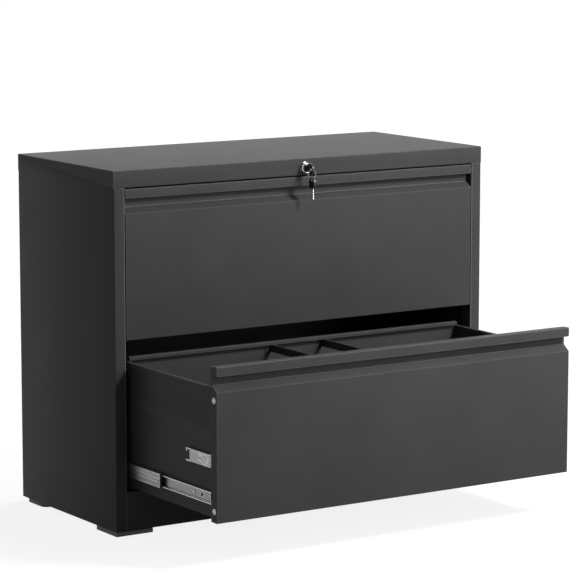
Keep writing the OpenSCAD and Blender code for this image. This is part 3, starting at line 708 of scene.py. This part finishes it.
def shank() -> Mesh:
    """Makes a threaded shank of unit length below Z = 0."""
    r, teeth = STEM_R, 5
    line = [(0.0, -1.0), (0.78 * r, -1.0)]
    for k in range(teeth, 0, -1):
        line += [(0.8 * r, -(k - 0.1) / teeth), (r, -(k - 0.5) / teeth)]
    line += [(0.8 * r, -0.02), (0.8 * r, 0.0), (0.0, 0.0)]
    return lathe(line, 20, "shank")


@dataclass(frozen=True)
class ScrewSet:
    """The screws of one node: their heads and their shanks."""

    node: str
    seed: int

    def build(self, maker: Builder, head: Mesh, stem: Mesh) -> None:
        """Stands copies of a head and of a shank on the node's seats."""
        seats = [self._seat(points) for points in islands(self.node)]
        if self.node != "case_screws":
            seats = [pair for pair in seats if not self._in_cam_plate(pair[0].place)]
            seats = [(self._flat_headed(top), foot) for top, foot in seats]
        tops, feet = zip(*seats)
        body, name = maker.carried_by[self.node], f"{self.node}_heads"
        heads = maker.scatter.make(name, head.copy(), tops, math.tau, self.seed)
        maker.piece(heads, name, body, Slot.SCREW, self.node)
        name = f"{self.node}_shanks"
        rods = maker.scatter.make(name, stem.copy(), feet)
        maker.piece(rods, name, body, Slot.SCREW)

    def _in_cam_plate(self, place: Vector) -> bool:
        """Tells whether a screw would stand in the drawer's cam plate, which has none."""
        low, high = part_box(self.node.replace("screws", "cam_plate"))
        return low.z < place.z < high.z and low.y < place.y < high.y

    @staticmethod
    def _flat_headed(seat: Seat) -> Seat:
        """Gives the screws of a drawer's front their wide flat heads."""
        if abs(seat.place.x) < FRONT_SCREWS_X:
            return seat
        return Seat(seat.place, seat.turn, Vector(FLAT_HEAD))

    @staticmethod
    def _seat(points: list[Vector]) -> tuple[Seat, Seat]:
        """Finds the seats of one screw's head and shank from all its points."""
        low, high = corners(points)
        mid, span = (low + high) / 2, high - low
        along = min(range(3), key=lambda i: abs(span[i - 2] - span[i - 1]))
        width = span[(along + 1) % 3]
        wide = []
        for p in points:
            out = p - mid
            out[along] = 0.0
            if out.length > 0.49 * width:
                wide.append(p[along])
        toward = 1.0 if sum(wide) / len(wide) > mid[along] else -1.0
        base = min(wide) if toward > 0 else max(wide)
        top = high[along] if toward > 0 else low[along]
        foot = low[along] if toward > 0 else high[along]
        place, axis = mid.copy(), Vector()
        place[along], axis[along] = base, toward
        turn = Vector(axis.to_track_quat("Z", "Y").to_euler())
        grow = width / (2 * HEAD_R)
        head = Seat(place, turn, Vector((grow, grow, abs(top - base) / HEAD_H)))
        return head, Seat(place, turn, Vector((1.0, 1.0, abs(base - foot))))


# ---- lock and keys


class LockSet:
    """The cylinder lock in the top rail, its key, the ring and the spare key."""

    ring_r = 9.0 * MM
    wire_r = 0.8 * MM
    slack = 0.42 * MM
    hole_d = 8.0 * MM
    hole_wall = 1.6 * MM
    spare_w = 19.0 * MM
    spare_h = 22.5 * MM
    spare_t = 6.0 * MM
    blade_t = 2.0 * MM
    blade_h = 7.0 * MM
    face_r = 7.4 * MM
    face_deep = 4.0 * MM
    play = 0.3 * MM

    def __init__(self, maker: Builder) -> None:
        """Reads where the lock and its key stand, and where the ring hangs in its bow."""
        self.maker = maker
        self.low, self.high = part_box("lock_body")
        self.bow_low, self.bow_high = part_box("key")
        self.x, _, self.z = (self.low + self.high) / 2
        hang = self._hang(self.bow_high.x - self.bow_low.x)
        y = self.bow_low.y + self.hole_d / 2 + self.hole_wall
        self.ring = Vector((self.x, y, self.z - self.hole_d / 2 - hang))

    def build(self) -> None:
        """Makes every piece of the lock."""
        self._bezel()
        self._core()
        self._key()
        self._ring()
        self._spare()

    def _hang(self, thickness: float) -> float:
        """Returns how far the ring's middle lies from the edge of a bow's hole."""
        return math.sqrt(self.ring_r**2 - (thickness / 2) ** 2) - self.wire_r - self.slack

    def _turned(self, profile: Points, steps: int, name: str) -> Mesh:
        """Turns a profile of (radius, depth behind the bezel's face) on the lock's axis."""
        mesh = lathe(profile, steps, name)
        place = Matrix.Translation((self.x, self.low.y, self.z))
        mesh.transform(place @ Matrix.Rotation(-math.pi / 2, 4, "X"))
        return mesh

    def _bar(self, y: float, size: Triple, name: str) -> Mesh:
        """Makes a box on the lock's axis, with its middle at y."""
        middle, half = Vector((self.x, y, self.z)), Vector(size) / 2
        return block(middle - half, middle + half, name)

    def _bezel(self) -> None:
        """Makes the bezel and the threaded barrel in one turned piece."""
        core_low, core_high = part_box("lock_core")
        inner, wide = (core_high.x - core_low.x) / 2 + self.play, self.face_r + self.play
        r, depth = (self.high.x - self.low.x) / 2, self.high.y - self.low.y
        seat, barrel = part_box("top_panel")[0].y - self.low.y, r * 19.0 / 25.0
        lip = ((0.0, 0.9), (0.3, 0.35), (0.8, 0.1))
        dome = ((3.6, 0.0), (2.6, 0.12), (1.7, 0.55), (1.0, 1.25), (0.55, 2.3), (0.2, 3.9))
        foot = ((0.1, 1.2), (0.45, 0.9), (0.45, 0.55), (0.02, 0.4), (0.0, 0.0))
        line = [(wide + u * MM, v * MM) for u, v in lip]
        line += [(r - u * MM, v * MM) for u, v in dome]
        line += [(r - u * MM, seat - v * MM) for u, v in foot]
        line += [(barrel, seat)]
        turns = 16
        start, pitch = seat + 2.0 * MM, (depth - seat - 3.0 * MM) / turns
        for k in range(turns):
            line += [(barrel - 0.45 * MM, start + k * pitch), (barrel, start + (k + 0.5) * pitch)]
        line += [(barrel - 0.6 * MM, depth), (inner, depth), (inner, self.face_deep + MM)]
        line += [(wide, self.face_deep + MM), line[0]]
        mesh = smooth(self._turned(line, 72, "lock_bezel"), 34.0)
        self.maker.piece(mesh, "lock_bezel", "case", Slot.LOCK, "lock_body")

    def _core(self) -> None:
        """Makes the turning core with its wide face, its keyway and its driving square."""
        low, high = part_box("lock_core")
        r, wide, front = (high.x - low.x) / 2, self.face_r, low.y - self.low.y
        back = high.y - self.low.y - 4.0 * MM
        line = [(0.0, front), (wide - 1.3 * MM, front), (wide - 0.6 * MM, front + 0.15 * MM)]
        line += [(wide - 0.15 * MM, front + 0.5 * MM), (wide, front + 1.0 * MM)]
        line += [(wide, self.face_deep), (r, self.face_deep), (r, back), (0.0, back)]
        keyway = self._bar(low.y + 9.0 * MM, (2.5 * MM, 22.0 * MM, 7.6 * MM), "keyway")
        square = self._bar(high.y - 2.05 * MM, (6.0 * MM, 4.1 * MM, 6.0 * MM), "square")
        slotted = cut(self._turned(line, 48, "core_round"), keyway, "core_slotted")
        name, black = "lock_core_turned", self.maker.finishes["core"]
        mesh = smooth(joined([slotted, square], name), 34.0)
        self.maker.piece(mesh, name, "lock_plug", Slot.LOCK, "lock_core", material=black)

    @staticmethod
    def _bow(name: str, outline: Points, hole: Triple, thickness: float) -> Mesh:
        """Makes a key bow of (y, z) corners and the hole's y, z and diameter."""
        y, z, r, t = hole[0], hole[1], hole[2] / 2, thickness
        bore = lathe([(0.0, -t), (r, -t), (r, t), (0.0, t)], 32, "bore")
        bore.transform(Matrix.Translation((0.0, y, z)) @ Matrix.Rotation(math.pi / 2, 4, "Y"))
        return smooth(cut(plate(outline, t, name), bore, name), 40.0)

    @staticmethod
    def _arc(y: float, z: float, r: float, start: float, end: float, steps: int) -> Points:
        """Lists points of an arc about (y, z), its angles in degrees."""
        turn = [math.radians(start + (end - start) * k / steps) for k in range(steps + 1)]
        return [(y + r * math.cos(a), z + r * math.sin(a)) for a in turn]

    def _blade(self, name: str, start: float, end: float, across: float, along_y: bool) -> Mesh:
        """Makes a steel blade with milled grooves and wave-cut edges, along Y or Z."""
        section = [(-0.5, -0.5), (0.5, -0.5), (0.5, -0.12), (0.22, -0.12), (0.22, 0.12)]
        section += [(0.5, 0.12), (0.5, 0.5), (-0.5, 0.5), (-0.5, 0.3), (-0.22, 0.3)]
        section += [(-0.22, 0.08), (-0.5, 0.08)]
        steps, verts = 36, []
        for k in range(steps + 1):
            share = k / steps
            wave = abs(math.sin(share * 5.5 * math.pi)) if 0.12 < share < 0.93 else 0.0
            bite, tip = 1.0 - 0.16 * wave, 0.45 if k == steps else 1.0
            run = start + (end - start) * share
            for u, v in section:
                x, rise = u * self.blade_t, v * self.blade_h * tip
                height = across + rise * (bite if abs(v) > 0.45 else 1.0)
                verts.append((x, run, height) if along_y else (x, height, run))
        return smooth(meshed(verts, capped(steps + 1, len(section)), name), 25.0)

    def _key(self) -> None:
        """Makes the key that stands in the lock: a moulded bow on a steel blade."""
        low, high, maker = self.bow_low, self.bow_high, self.maker
        r, neck = (high.z - low.z) / 2, self.low.y - 1.1 * MM
        outline = self._arc(low.y + r, self.z, r, 24.0, 336.0, 60)
        outline += [(neck, self.z - 4.6 * MM), (neck, self.z + 4.6 * MM)]
        mesh = self._bow("key_bow", outline, (self.ring.y, self.z, self.hole_d), high.x - low.x)
        soften(maker.piece(mesh, "key_bow", "lock_plug", Slot.KEY, "key"), 1.6 * MM, 5)
        steel, start = maker.finishes["steel"], self.low.y - 3.0 * MM
        blade = self._blade("key_blade", start, high.y, self.z, along_y=True)
        maker.piece(blade, "key_blade", "lock_plug", Slot.LOCK, material=steel)

    def _ring(self) -> None:
        """Makes the split ring, two turns of close-laid wire."""
        turns, steps = 2, 72
        points = []
        for k in range(turns * steps + 1):
            a = 2 * math.pi * k / steps + math.radians(200.0)
            y = (k / (turns * steps) - 0.5) * 2.0 * self.wire_r * 0.96
            out = Vector((self.ring_r * math.cos(a), y, self.ring_r * math.sin(a)))
            points.append(self.ring + out)
        mesh = smooth(wire(points, self.wire_r * 0.52, "key_ring"), 60.0)
        steel = self.maker.finishes["steel"]
        self.maker.piece(mesh, "key_ring", "case", Slot.LOCK, material=steel)

    def _spare(self) -> None:
        """Makes the spare key that hangs from the ring."""
        half, bore, maker = self.spare_w / 2, 0.8 * self.hole_d, self.maker
        top = self.ring.z - self._hang(self.spare_t) + self.hole_wall
        y = self.ring.y - 2.0 * MM
        shoulder, cheek = top - self.spare_h, top - half - 5.0 * MM
        outline = self._arc(y, top - half, half, 0.0, 180.0, 28)
        outline += [(y - half + 0.2 * MM, cheek), (y - 5.4 * MM, shoulder)]
        outline += [(y + 5.4 * MM, shoulder), (y + half - 0.2 * MM, cheek)]
        hole = (y, top - self.hole_wall - bore / 2, bore)
        mesh = self._bow("spare_bow", outline, hole, self.spare_t)
        soften(maker.piece(mesh, "spare_bow", "case", Slot.KEY), 1.4 * MM, 4)
        start, end, steel = shoulder + 3.0 * MM, shoulder - 23.0 * MM, maker.finishes["steel"]
        blade = self._blade("spare_blade", start, end, y, along_y=False)
        maker.piece(blade, "spare_blade", "case", Slot.LOCK, material=steel)


# ---- slides and sheets


@dataclass(frozen=True)
class CageSet:
    """The ball cages of one pair of slides: pierced strips and their balls."""

    node: str

    def build(self, maker: Builder) -> None:
        """Makes the strips and the balls."""
        body = maker.carried_by[self.node]
        balls = []
        for low, high in map(corners, islands(self.node)):
            size = max(high - low)
            if size - min(high - low) < 0.12 * size:
                balls.append(Seat((low + high) / 2, Vector(), Vector((size, size, size))))
        reach = max(seat.size.x for seat in balls) * 0.53
        centres = [seat.place for seat in balls]
        mesh = copy_of(self.node)
        with edited(mesh) as bm:
            gone = [v for v in bm.verts if self._near_ball(v, centres, reach)]
            bmesh.ops.delete(bm, geom=gone, context="VERTS")
        maker.piece(smooth(mesh), f"{self.node}_strips", body, Slot.CAGE, self.node)
        ball = bpy.data.meshes.new("ball")
        with edited(ball) as bm:
            bmesh.ops.create_icosphere(bm, subdivisions=3, radius=0.5)
        name, shine = f"{self.node}_balls", maker.finishes[Slot.LOCK]
        mesh = maker.scatter.make(name, ball, balls)
        maker.piece(mesh, name, body, Slot.CAGE, material=shine)

    @staticmethod
    def _near_ball(vert: bmesh.types.BMVert, centres: list[Vector], reach: float) -> bool:
        """Tells whether a vertex belongs to a ball rather than to a strip's hole."""
        near = min(centres, key=lambda c: (c - vert.co).length_squared)
        long = any(edge.calc_length() > reach for edge in vert.link_edges)
        return (vert.co - near).length < reach and not long


@dataclass(frozen=True)
class CamPlate:
    """Pressed plate on a drawer's side that takes the lock rod's bolt."""

    node: str
    rise: float = 3.0 * MM
    rim: float = 3.0 * MM
    slope: float = 6.0 * MM
    mouth: float = 14.0 * MM
    pitch: float = 0.5 * MM
    ridge: float = 1.3 * MM
    corner: float = 1.2 * MM
    sheet: float = 0.9 * MM

    def build(self, maker: Builder) -> None:
        """Makes the raised panel with its ridges, and the two prongs behind it."""
        low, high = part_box(self.node)
        low = low + Vector((0.0, 0.0, self.rise))
        body, mesh = maker.carried_by[self.node], self._panel(low, high)
        panel = maker.piece(mesh, f"{self.node}_panel", body, Slot.STAMPED, self.node)
        wall = panel.modifiers.new("sheet", "SOLIDIFY")
        wall.thickness = self.sheet
        wall.offset = -1.0
        mesh = self._prongs(low, high)
        prongs = maker.piece(mesh, f"{self.node}_prongs", body, Slot.STAMPED)
        soften(prongs, 0.5 * MM, 3)

    @staticmethod
    def _ridges(low: Vector, high: Vector) -> list[Points]:
        """Lists the ridges' middle lines, as (y, z) points."""
        curl, y, top, foot = 8.0 * MM, low.y + 3.0 * MM, high.z - 3.0 * MM, low.z
        turns = [(math.cos(a), math.sin(a)) for a in (0.0, 0.4, 0.8, 1.2, math.pi / 2)]
        bend = [(y + curl * (1.0 - c), top - curl * (1.0 - s)) for c, s in turns]
        upper = [(y, top - 15.0 * MM), *bend, (y + 39.0 * MM, top)]
        middle = [(y + u * MM, top - v * MM) for u, v in ((33.0, 5.0), (22.0, 5.0), (5.0, 14.0))]
        lower = [(y + u * MM, foot + v * MM) for u, v in ((35.0, 8.0), (25.0, 8.0), (9.0, 2.5))]
        return [upper, [*middle, (y + 4.0 * MM, foot + 4.0 * MM)], lower]

    @staticmethod
    def _apart(point: Vector, line: list[Vector]) -> float:
        """Measures how far a point lies from a line of points."""
        best = 1.0
        for a, b in zip(line, line[1:]):
            out, run = point - a, b - a
            share = min(1.0, max(0.0, out.dot(run) / run.length_squared))
            best = min(best, (out - share * run).length)
        return best

    def _panel(self, low: Vector, high: Vector) -> Mesh:
        """Presses the panel: a grid that stands out of the drawer's side."""
        start, end = low.y - self.slope, high.y - self.mouth
        full, corner = high.x - low.x, self.corner
        lines = [[Vector(point) for point in line] for line in self._ridges(low, high)]
        long, up = round((end - start) / self.pitch), round((high.z - low.z) / self.pitch)
        verts = []
        for j in range(long + 1):
            y = start + (end - start) * j / long
            rise = full * min(1.0, max(0.06, (y - start) / self.slope))
            verts.append((high.x, y, low.z))
            for k in range(up + 1):
                z = low.z + (high.z - low.z) * k / up
                fall = max(0.0, corner - min(z - low.z, high.z - z))
                drop = corner - math.sqrt(max(0.0, corner**2 - fall**2))
                out = rise - min(rise, drop)
                if y > low.y:
                    near = min(self._apart(Vector((y, z)), line) for line in lines)
                    out += self.ridge * max(0.0, 1.0 - (near / self.ridge) ** 2)
                verts.append((high.x - out, y, z))
            verts.append((high.x, y, high.z))
        mesh = bpy.data.meshes.new(f"{self.node}_panel")
        mesh.from_pydata(verts, [], grid(long + 1, up + 3, closed=False))
        return smooth(mesh, 45.0)

    def _prongs(self, low: Vector, high: Vector) -> Mesh:
        """Makes the prongs behind the panel, with the hook of the upper one."""
        y0, y1, top, foot = high.y - self.mouth - 2.0 * MM, high.y, high.z, low.z
        bar, step = top - self.rim, y1 - self.rim
        hook = bar - 4.0 * MM
        upper = [(y0, bar), (step, bar), (step, hook), (y1, hook), (y1, top), (y0, top)]
        lower = [(y0, foot), (y1, foot), (y1, foot + self.rim), (y0, foot + self.rim)]
        both = [plate(line, high.x - low.x, "prong") for line in (upper, lower)]
        mesh = joined(both, f"{self.node}_prongs")
        mesh.transform(Matrix.Translation(((low.x + high.x) / 2, 0.0, 0.0)))
        return smooth(mesh)


@dataclass(frozen=True)
class SlideFronts:
    """Front ends of the telescopic slides, which the solids have plain."""

    fork: float = 15.0 * MM
    flange: float = 3.0 * MM
    hole: float = 8.0 * MM
    window: float = 27.0 * MM
    reach: float = 17.0 * MM
    slot: tuple[float, float] = (3.0 * MM, 6.5 * MM)
    past: float = 2.0 * MM

    def member(self, node: str) -> Mesh | None:
        """Returns the mesh of a middle or inner member, or None for an outer one."""
        if "mid" in node:
            return self._middle(node)
        return self._inner(node) if "inner" in node else None

    def _slab(self, node: str, y0: float, y1: float, half: float) -> Mesh:
        """Makes a box through a member's width, at the middle of its height."""
        low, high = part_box(node)
        mid, x0, x1 = (low.z + high.z) / 2, low.x - self.past, high.x + self.past
        return block(Vector((x0, y0, mid - half)), Vector((x1, y1, mid + half)), "slab")

    def _middle(self, node: str) -> Mesh:
        """Lengthens a middle member to the front and cuts the slot in its web."""
        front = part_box(node)[0].y
        mesh = nudged(node, Nudge(1, front - MM, front + MM, 1, -self.reach))
        y0, y1 = (front - self.reach + y for y in self.slot)
        return cut(mesh, self._slab(node, y0, y1, self.hole / 2), f"{node}_slotted")

    def _inner(self, node: str) -> Mesh:
        """Gives an inner member its forked front, whose flanges stand before the web."""
        low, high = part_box(node)
        ends = copy_of(node)
        ends.transform(Matrix.Translation((0.0, -self.fork, 0.0)))
        web = (high.z - low.z) / 2 - self.flange
        behind = (low.y, high.y + self.past, 1.0)
        between = (low.y - self.fork - self.past, high.y, web)
        for y0, y1, half in (behind, between):
            ends = cut(ends, self._slab(node, y0, y1, half), f"{node}_fork")
        y = low.y + self.window
        slab = self._slab(node, y, y + self.hole, self.hole / 2)
        pierced = cut(copy_of(node), slab, f"{node}_window")
        return joined([pierced, ends], f"{node}_forked")


CASE_EDGES = {
    **dict.fromkeys(("left_side_panel", "right_side_panel"), 0.35),
    "top_panel": 0.45,
    **dict.fromkeys(("back_panel", "base_panel", "kick_rail", "uprights"), 0.3),
}
LINKAGE = ("lock_bar", "lock_rod", "lock_guides", "lock_cam", "lock_nut")
DRAWER_EDGES = {
    "front": 0.4,
    **dict.fromkeys(("front_liner", "left_side", "right_side", "back", "bottom"), 0.25),
    "hanging_bars": 0.2,
}
POSTS = {"left_side_panel": (-1,), "right_side_panel": (1,), "kick_rail": (-1, 1)}
POST_BAND = (0.4232, 0.4256)
POST_MOVE = 2.0 * MM
LIP = ((252.0, 265.0, -2.5), (265.0, 280.0, -5.0), (280.0, 292.0, -2.5))


def build_case(maker: Builder) -> None:
    """Makes the case's sheets, its feet and the lock's linkage."""
    for node, edge in CASE_EDGES.items():
        sides = [(side, sorted(side * x for x in POST_BAND)) for side in POSTS.get(node, ())]
        moves = [Nudge(0, *band, 0, side * POST_MOVE) for side, band in sides]
        maker.dress(node, Slot.CASE, edge * MM, nudged(node, *moves))
    for node in ("front_feet", "rear_feet"):
        maker.dress(node, Slot.FOOT, 0.6 * MM)
    for node in LINKAGE:
        maker.dress(node, Slot.STAMPED, 0.2 * MM)


def build_drawers(maker: Builder) -> None:
    """Makes both drawers and their slides."""
    ends = SlideFronts()
    forward = Nudge(0, -1.0, 1.0, 1, -ends.reach)
    for level in ("lower", "upper"):
        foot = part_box(f"{level}_front")[0].z
        lip = [Nudge(2, foot + a * MM, foot + b * MM, 2, by * MM) for a, b, by in LIP]
        for part, edge in DRAWER_EDGES.items():
            node = f"{level}_{part}"
            mesh = nudged(node, *lip) if part.startswith("front") else None
            maker.dress(node, Slot.DRAWER, edge * MM, mesh)
        CamPlate(f"{level}_cam_plate").build(maker)
        for kind in ("outer", "mid", "inner"):
            for side in ("left", "right"):
                node = f"{level}_{side}_{kind}_slide"
                maker.dress(node, Slot.SLIDE, 0.15 * MM, ends.member(node))
        node = f"{level}_slide_stops"
        maker.dress(node, Slot.STOP, 0.4 * MM, nudged(node, forward))
        for kind in ("outer", "inner"):
            CageSet(f"{level}_{kind}_cages").build(maker)


def build_screws(maker: Builder) -> None:
    """Makes all the screws."""
    head, stem = pan_head(), shank()
    for k, node in enumerate(("case_screws", "lower_screws", "upper_screws")):
        ScrewSet(node, 3 + 2 * k).build(maker, head, stem)


# ---- stage


@dataclass(frozen=True)
class Lamp:
    """One soft area lamp that looks at a point."""

    name: str
    place: Triple
    target: Triple
    size: float
    power: float

    def build(self) -> None:
        """Adds the lamp to the scene."""
        data = bpy.data.lights.new(self.name, "AREA")
        data.shape = "SQUARE"
        data.size = self.size
        data.energy = self.power
        thing = bpy.data.objects.new(self.name, data)
        thing.location = self.place
        thing.visible_camera = False
        look = Vector(self.target) - Vector(self.place)
        thing.rotation_euler = look.to_track_quat("-Z", "Y").to_euler()
        bpy.context.scene.collection.objects.link(thing)


LAMPS = (
    Lamp("key_soft", (0.85, -1.45, 1.65), (0.0, -0.3, 0.4), 0.45, 33.0),
    Lamp("front_soft", (1.3, -2.6, 1.1), (0.0, -0.2, 0.4), 1.0, 19.0),
    Lamp("top_soft", (0.4, 0.5, 2.2), (0.0, 0.1, 0.7), 0.8, 15.0),
)
AMBIENT = 0.14
FLOOR_HALF = 14.0
FLOOR_TONE = 0.32
GLOW_REACH = (0.6, 2.6)
GLOW_LEVEL = (0.86, 1.0)
CAMERA_PLACE = (-3.15014, -4.78509, 1.32741)
CAMERA_TURN = (90.0 - 8.58282, 0.0, -33.17623)
CAMERA_LENS = 175.109


def seen_ray(g: Graph) -> Socket:
    """Returns 1 for camera, glossy and transmission rays, 0 for the others."""
    path = g.add("ShaderNodeLightPath").outputs
    both = g.math("MAXIMUM", path["Is Camera Ray"], path["Is Glossy Ray"])
    return g.math("MAXIMUM", both, path["Is Transmission Ray"])


def build_floor() -> None:
    """Makes the floor, which keeps the shadow and looks white farther out."""
    material = bpy.data.materials.new("pale_floor")
    material.use_nodes = True
    g = Graph(material.node_tree)
    matt = g.out("ShaderNodeBsdfDiffuse", {"Color": (FLOOR_TONE, FLOOR_TONE, FLOOR_TONE, 1.0)})
    place = g.add("ShaderNodeTexCoord").outputs["Object"]
    away = g.add("ShaderNodeVectorMath", {0: place}, operation="LENGTH").outputs["Value"]
    values = dict(enumerate((away, *GLOW_REACH, *GLOW_LEVEL)))
    level = g.math("MULTIPLY", seen_ray(g), g.out("ShaderNodeMapRange", values))
    glow = g.out("ShaderNodeEmission", {"Strength": level})
    both = g.out("ShaderNodeAddShader", {0: matt, 1: glow})
    g.link(both, g.add("ShaderNodeOutputMaterial").inputs[0])
    mesh = bpy.data.meshes.new("studio_floor")
    half = FLOOR_HALF
    edge = [(-half, -half, 0), (half, -half, 0), (half, half, 0), (-half, half, 0)]
    mesh.from_pydata(edge, [], [(0, 1, 2, 3)])
    put(mesh, "studio_floor", material)


def build_world() -> None:
    """Makes a world that looks white and lights the cabinet faintly from all sides."""
    world = bpy.data.worlds.new("studio_world")
    bpy.context.scene.world = world
    world.use_nodes = True
    g = Graph(world.node_tree)
    level = g.out("ShaderNodeMapRange", {0: seen_ray(g), 3: AMBIENT, 4: 1.0})
    sky = g.out("ShaderNodeBackground", {"Color": (1.0, 1.0, 1.0, 1.0), "Strength": level})
    g.link(sky, g.add("ShaderNodeOutputWorld").inputs[0])


def build_camera() -> None:
    """Puts the camera in front of the cabinet's left corner, a little above it."""
    data = bpy.data.cameras.new("main_camera")
    data.lens = CAMERA_LENS
    data.sensor_width = 36.0
    thing = bpy.data.objects.new("main_camera", data)
    thing.location = CAMERA_PLACE
    thing.rotation_euler = [math.radians(turn) for turn in CAMERA_TURN]
    bpy.context.scene.collection.objects.link(thing)
    bpy.context.scene.camera = thing


def main() -> None:
    """Builds the scene."""
    logging.basicConfig(level=logging.INFO, format="%(message)s")
    scene = bpy.context.scene
    scene.view_settings.view_transform = "Standard"
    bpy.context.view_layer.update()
    build_camera()
    build_floor()
    build_world()
    for lamp in LAMPS:
        lamp.build()
    bodies = frame["record"]["behaviour"]["bodies"]
    carried_by = {node: body for body, nodes in bodies.items() for node in nodes}
    maker = Builder(build_finishes(), Scatter(), carried_by)
    build_case(maker)
    build_drawers(maker)
    build_screws(maker)
    LockSet(maker).build()


if __name__ == "__main__":
    main()
